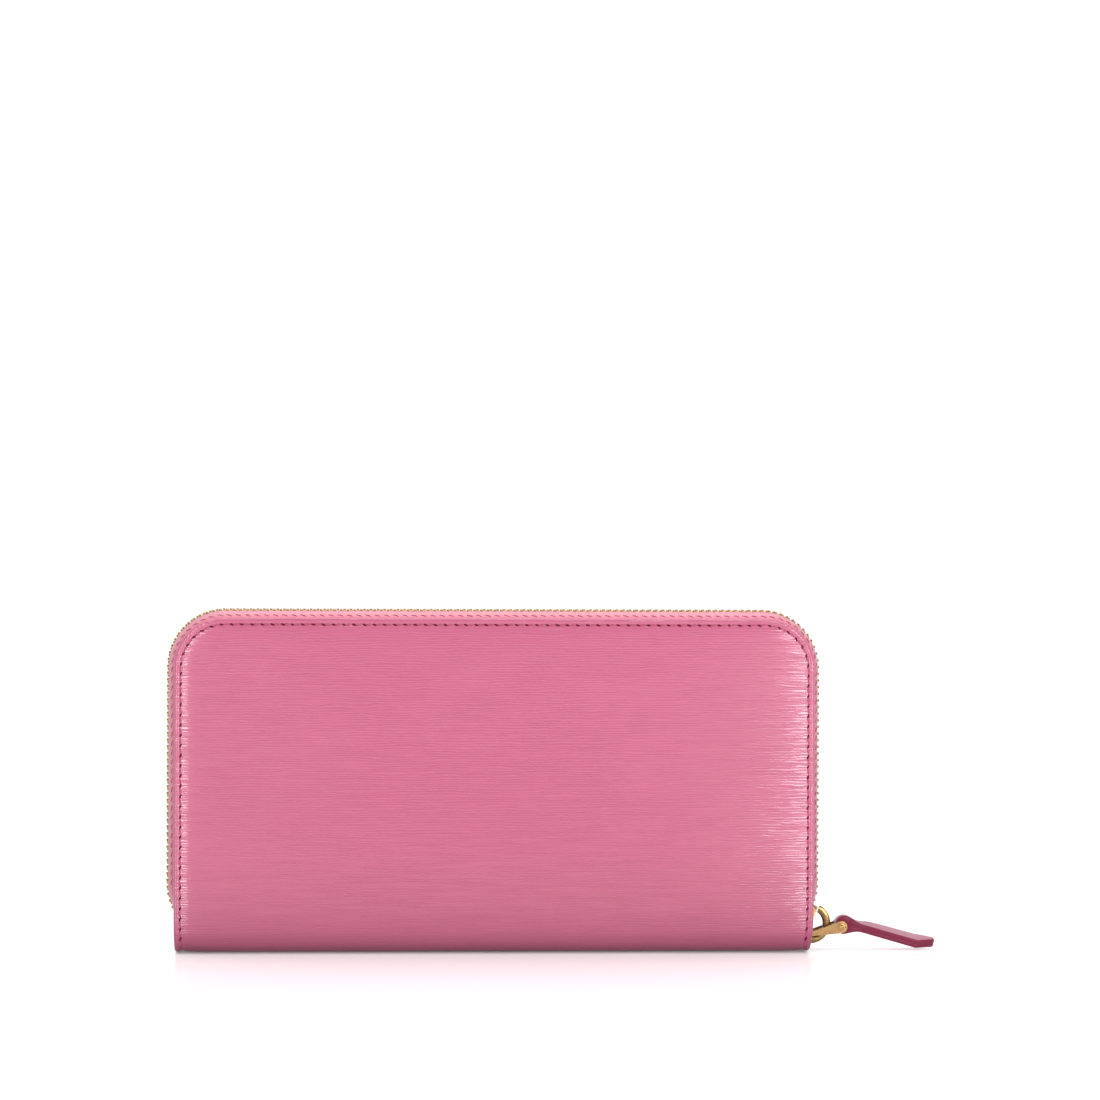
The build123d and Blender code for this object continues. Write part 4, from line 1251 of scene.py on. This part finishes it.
ribbon_sheet("coin_purse_gusset", "spine", M_GUSSET, [(y, 0.0) for y in np.linspace(-2.66, 2.66, 11)], list(range(len(track))), 0.5,
             gusset_place, lambda s, u: 0.0)

# the coin zip's tapes: from the chain over a soft bend down to the sewn hem on the purse
for tag, side in (("front", -1), ("back", 1)):
    node = f"coin_zip_tape_{tag}"
    lo, hi = mm(node)
    zc = hi[2] - 0.25
    park_tail = mm("coin_slider")[0][0]
    bend = round_poly([(3.88, zc), (5.07, zc), (5.07, 73.5), (3.55, 71.3), (3.55, 66.15), (3.56, 66.1), (3.7, 73.0)], [0, 0.55, 0.8, 0.8, 0, 0, 0], 5)[:-4]
    bend = bend[[k for k in range(len(bend)) if k == 0 or np.linalg.norm(bend[k] - bend[k - 1]) > 0.04]]
    sect = np.vstack([[(2.32 + 0.39 * k, zc) for k in range(4)], bend])

    def coin_place(s, p, u, side=side, park_tail=park_tail):
        edge = spread(max(0.0, s - park_tail)) if s > park_tail else 0.0
        w = min(1.0, max(0.0, (5.05 - p[0]) / (5.05 - 2.32))) if p[1] > 74.5 else 0.0
        return (s, side * (p[0] + edge * w), p[1])

    ribbon_sheet(node, "spine", M_COINTAPE, sect, np.unique(np.concatenate([np.linspace(lo[0] + 0.05, hi[0] - 0.05, 100), np.linspace(park_tail, park_tail + 6.5, 9)])), 0.40,
                 coin_place, lambda s, u: 0.02 * math.sin(s * 0.9 + 3 * u) * (1 if u > 0.35 else 0))
    soup = Soup()
    stitch_row(soup, [(x, side * 3.77, 67.4) for x in np.arange(lo[0] + 1.5, hi[0] - 1.0, 2.5)], (0, side, 0), 0.9, 0.15, 0)
    hem = soup.make(f"coin_tape_stitches_{tag}", [M_THREAD])
    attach(hem, "spine")


def assign(node, *mats):
    ob = frame["nodes"][node]
    ob.data.materials.clear()
    for m in mats:
        ob.data.materials.append(m)


for s in ("front", "back"):
    assign(f"{s}_cover_board", M_BOARD)
    assign(f"coin_zip_teeth_{s}", M_TEETH)
assign("coin_zip_stops", M_TEETH)
assign("zip_stops", M_TEETH)
assign("coin_slider", M_GOLD)
assign("coin_puller", M_GOLD)

# ------------------------------------------------------------------ what moves with what: teeth, slider and puller pieces go on their bodies; the leather, seams and tapes only get their transforms baked
hz = 0.00815
for o, body, side in ((front_skin, "front_cover", -1), (back_skin, "back_cover", 1)):
    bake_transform(o)
for o, body, side in ((front_seam, "front_cover", -1), (back_seam, "back_cover", 1)):
    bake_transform(o)
for o, body in ((front_tape, "front_cover"), (front_extras, "front_cover"), (back_tape, "back_cover"), (back_extras, "back_cover")):
    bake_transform(o)
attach(front_teeth, "front_cover")
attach(back_teeth, "back_cover")
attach(right_teeth, "spine")
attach(left_teeth, "spine")
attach(main_slider, "zip_slider")
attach(shackle, "pull_shackle")
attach(pin, "pull_shackle")
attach(tab, "pull_tab")

# ------------------------------------------------------------------ floor, light, camera
floor_m, nt, sh = new_material("pale_floor")
g = G(nt)
n1 = g.noise(g.n("ShaderNodeTexCoord").outputs["Object"], 3.0, 3.0, 0.5)
g.link(g.mix(g.math("MULTIPLY", n1, 0.2), (0.97, 0.97, 0.972), (0.955, 0.955, 0.957)), sh.inputs["Base Color"])
sh.inputs["Roughness"].default_value = 0.2
sh.inputs["Specular IOR Level"].default_value = 0.35
sh.inputs["Emission Color"].default_value = (1, 1, 1, 1)
sh.inputs["Emission Strength"].default_value = 0.12
bm = bmesh.new()
bmesh.ops.create_grid(bm, x_segments=8, y_segments=8, size=4.0)
me = bpy.data.meshes.new("floor")
bm.to_mesh(me)
bm.free()
floor = bpy.data.objects.new("floor", me)
floor.data.materials.append(floor_m)
bpy.context.scene.collection.objects.link(floor)
floor.location = (0, 0, -0.0002)

world = bpy.data.worlds.new("studio")
bpy.context.scene.world = world
world.use_nodes = True
wn = world.node_tree
tc = wn.nodes.new("ShaderNodeTexCoord")
sp = wn.nodes.new("ShaderNodeSeparateXYZ")
wn.links.new(tc.outputs["Generated"], sp.inputs[0])
def ranged(out, a0, a1, b0, b1):
    r = wn.nodes.new("ShaderNodeMapRange")
    r.interpolation_type = "SMOOTHSTEP"
    for key, v in (("From Min", a0), ("From Max", a1), ("To Min", b0), ("To Max", b1)):
        r.inputs[key].default_value = v
    wn.links.new(out, r.inputs["Value"])
    return r.outputs[0]


total = wn.nodes.new("ShaderNodeMath")
wn.links.new(ranged(sp.outputs[1], -0.45, 0.35, 0.36, 1.04), total.inputs[0])
wn.links.new(ranged(sp.outputs[2], 0.35, 0.95, 0.0, 0.45), total.inputs[1])
wn.nodes["Background"].inputs[0].default_value = (1, 1, 1, 1)
wn.links.new(total.outputs[0], wn.nodes["Background"].inputs[1])


def area(name, loc, target, size, size_y, power, color=(1, 1, 1)):
    d = bpy.data.lights.new(name, "AREA")
    d.shape = "RECTANGLE"
    d.size, d.size_y = size, size_y
    d.energy = power
    d.color = color
    o = bpy.data.objects.new(name, d)
    bpy.context.scene.collection.objects.link(o)
    o.location = loc
    o.rotation_euler = (Vector(target) - Vector(loc)).to_track_quat("-Z", "Y").to_euler()
    return o


def around(az, el, dist):
    a, e = math.radians(az), math.radians(el)
    return (dist * math.sin(a) * math.cos(e), -dist * math.cos(a) * math.cos(e), 0.05 + dist * math.sin(e))


area("right_soft_box", around(32, 11, 0.85), (0.05, 0, 0.05), 0.42, 0.17, 3.5)
area("left_soft_box", around(-29, 11, 0.85), (-0.05, 0, 0.05), 0.32, 0.16, 2.5)
area("top_soft_box", (0.0, -0.25, 0.85), (0, 0, 0.05), 0.7, 0.4, 2.6)

cam_d = bpy.data.cameras.new("camera")
cam = bpy.data.objects.new("camera", cam_d)
bpy.context.scene.collection.objects.link(cam)
AZ, EL, DIST = math.radians(-2.3), math.radians(3.6), 1.2
PAN, TILT, FOV, ROLL = 3.095, 0.252, 15.72, 0.22
cam.location = (DIST * math.sin(AZ) * math.cos(EL), -DIST * math.cos(AZ) * math.cos(EL), 0.05 + DIST * math.sin(EL))
pa, ti = math.radians(PAN), math.radians(TILT)
look = Vector((math.sin(pa) * math.cos(ti), math.cos(pa) * math.cos(ti), -math.sin(ti)))
rt = look.cross(Vector((0, 0, 1))).normalized()
upv = rt.cross(look)
ro = math.radians(ROLL)
rt2, up2 = rt * math.cos(ro) + upv * math.sin(ro), upv * math.cos(ro) - rt * math.sin(ro)
cam.rotation_euler = Matrix((rt2, up2, -look)).transposed().to_euler()
cam_d.angle = math.radians(FOV)
cam_d.clip_start, cam_d.clip_end = 0.05, 20
bpy.context.scene.camera = cam
bpy.context.scene.view_settings.view_transform = "Standard"
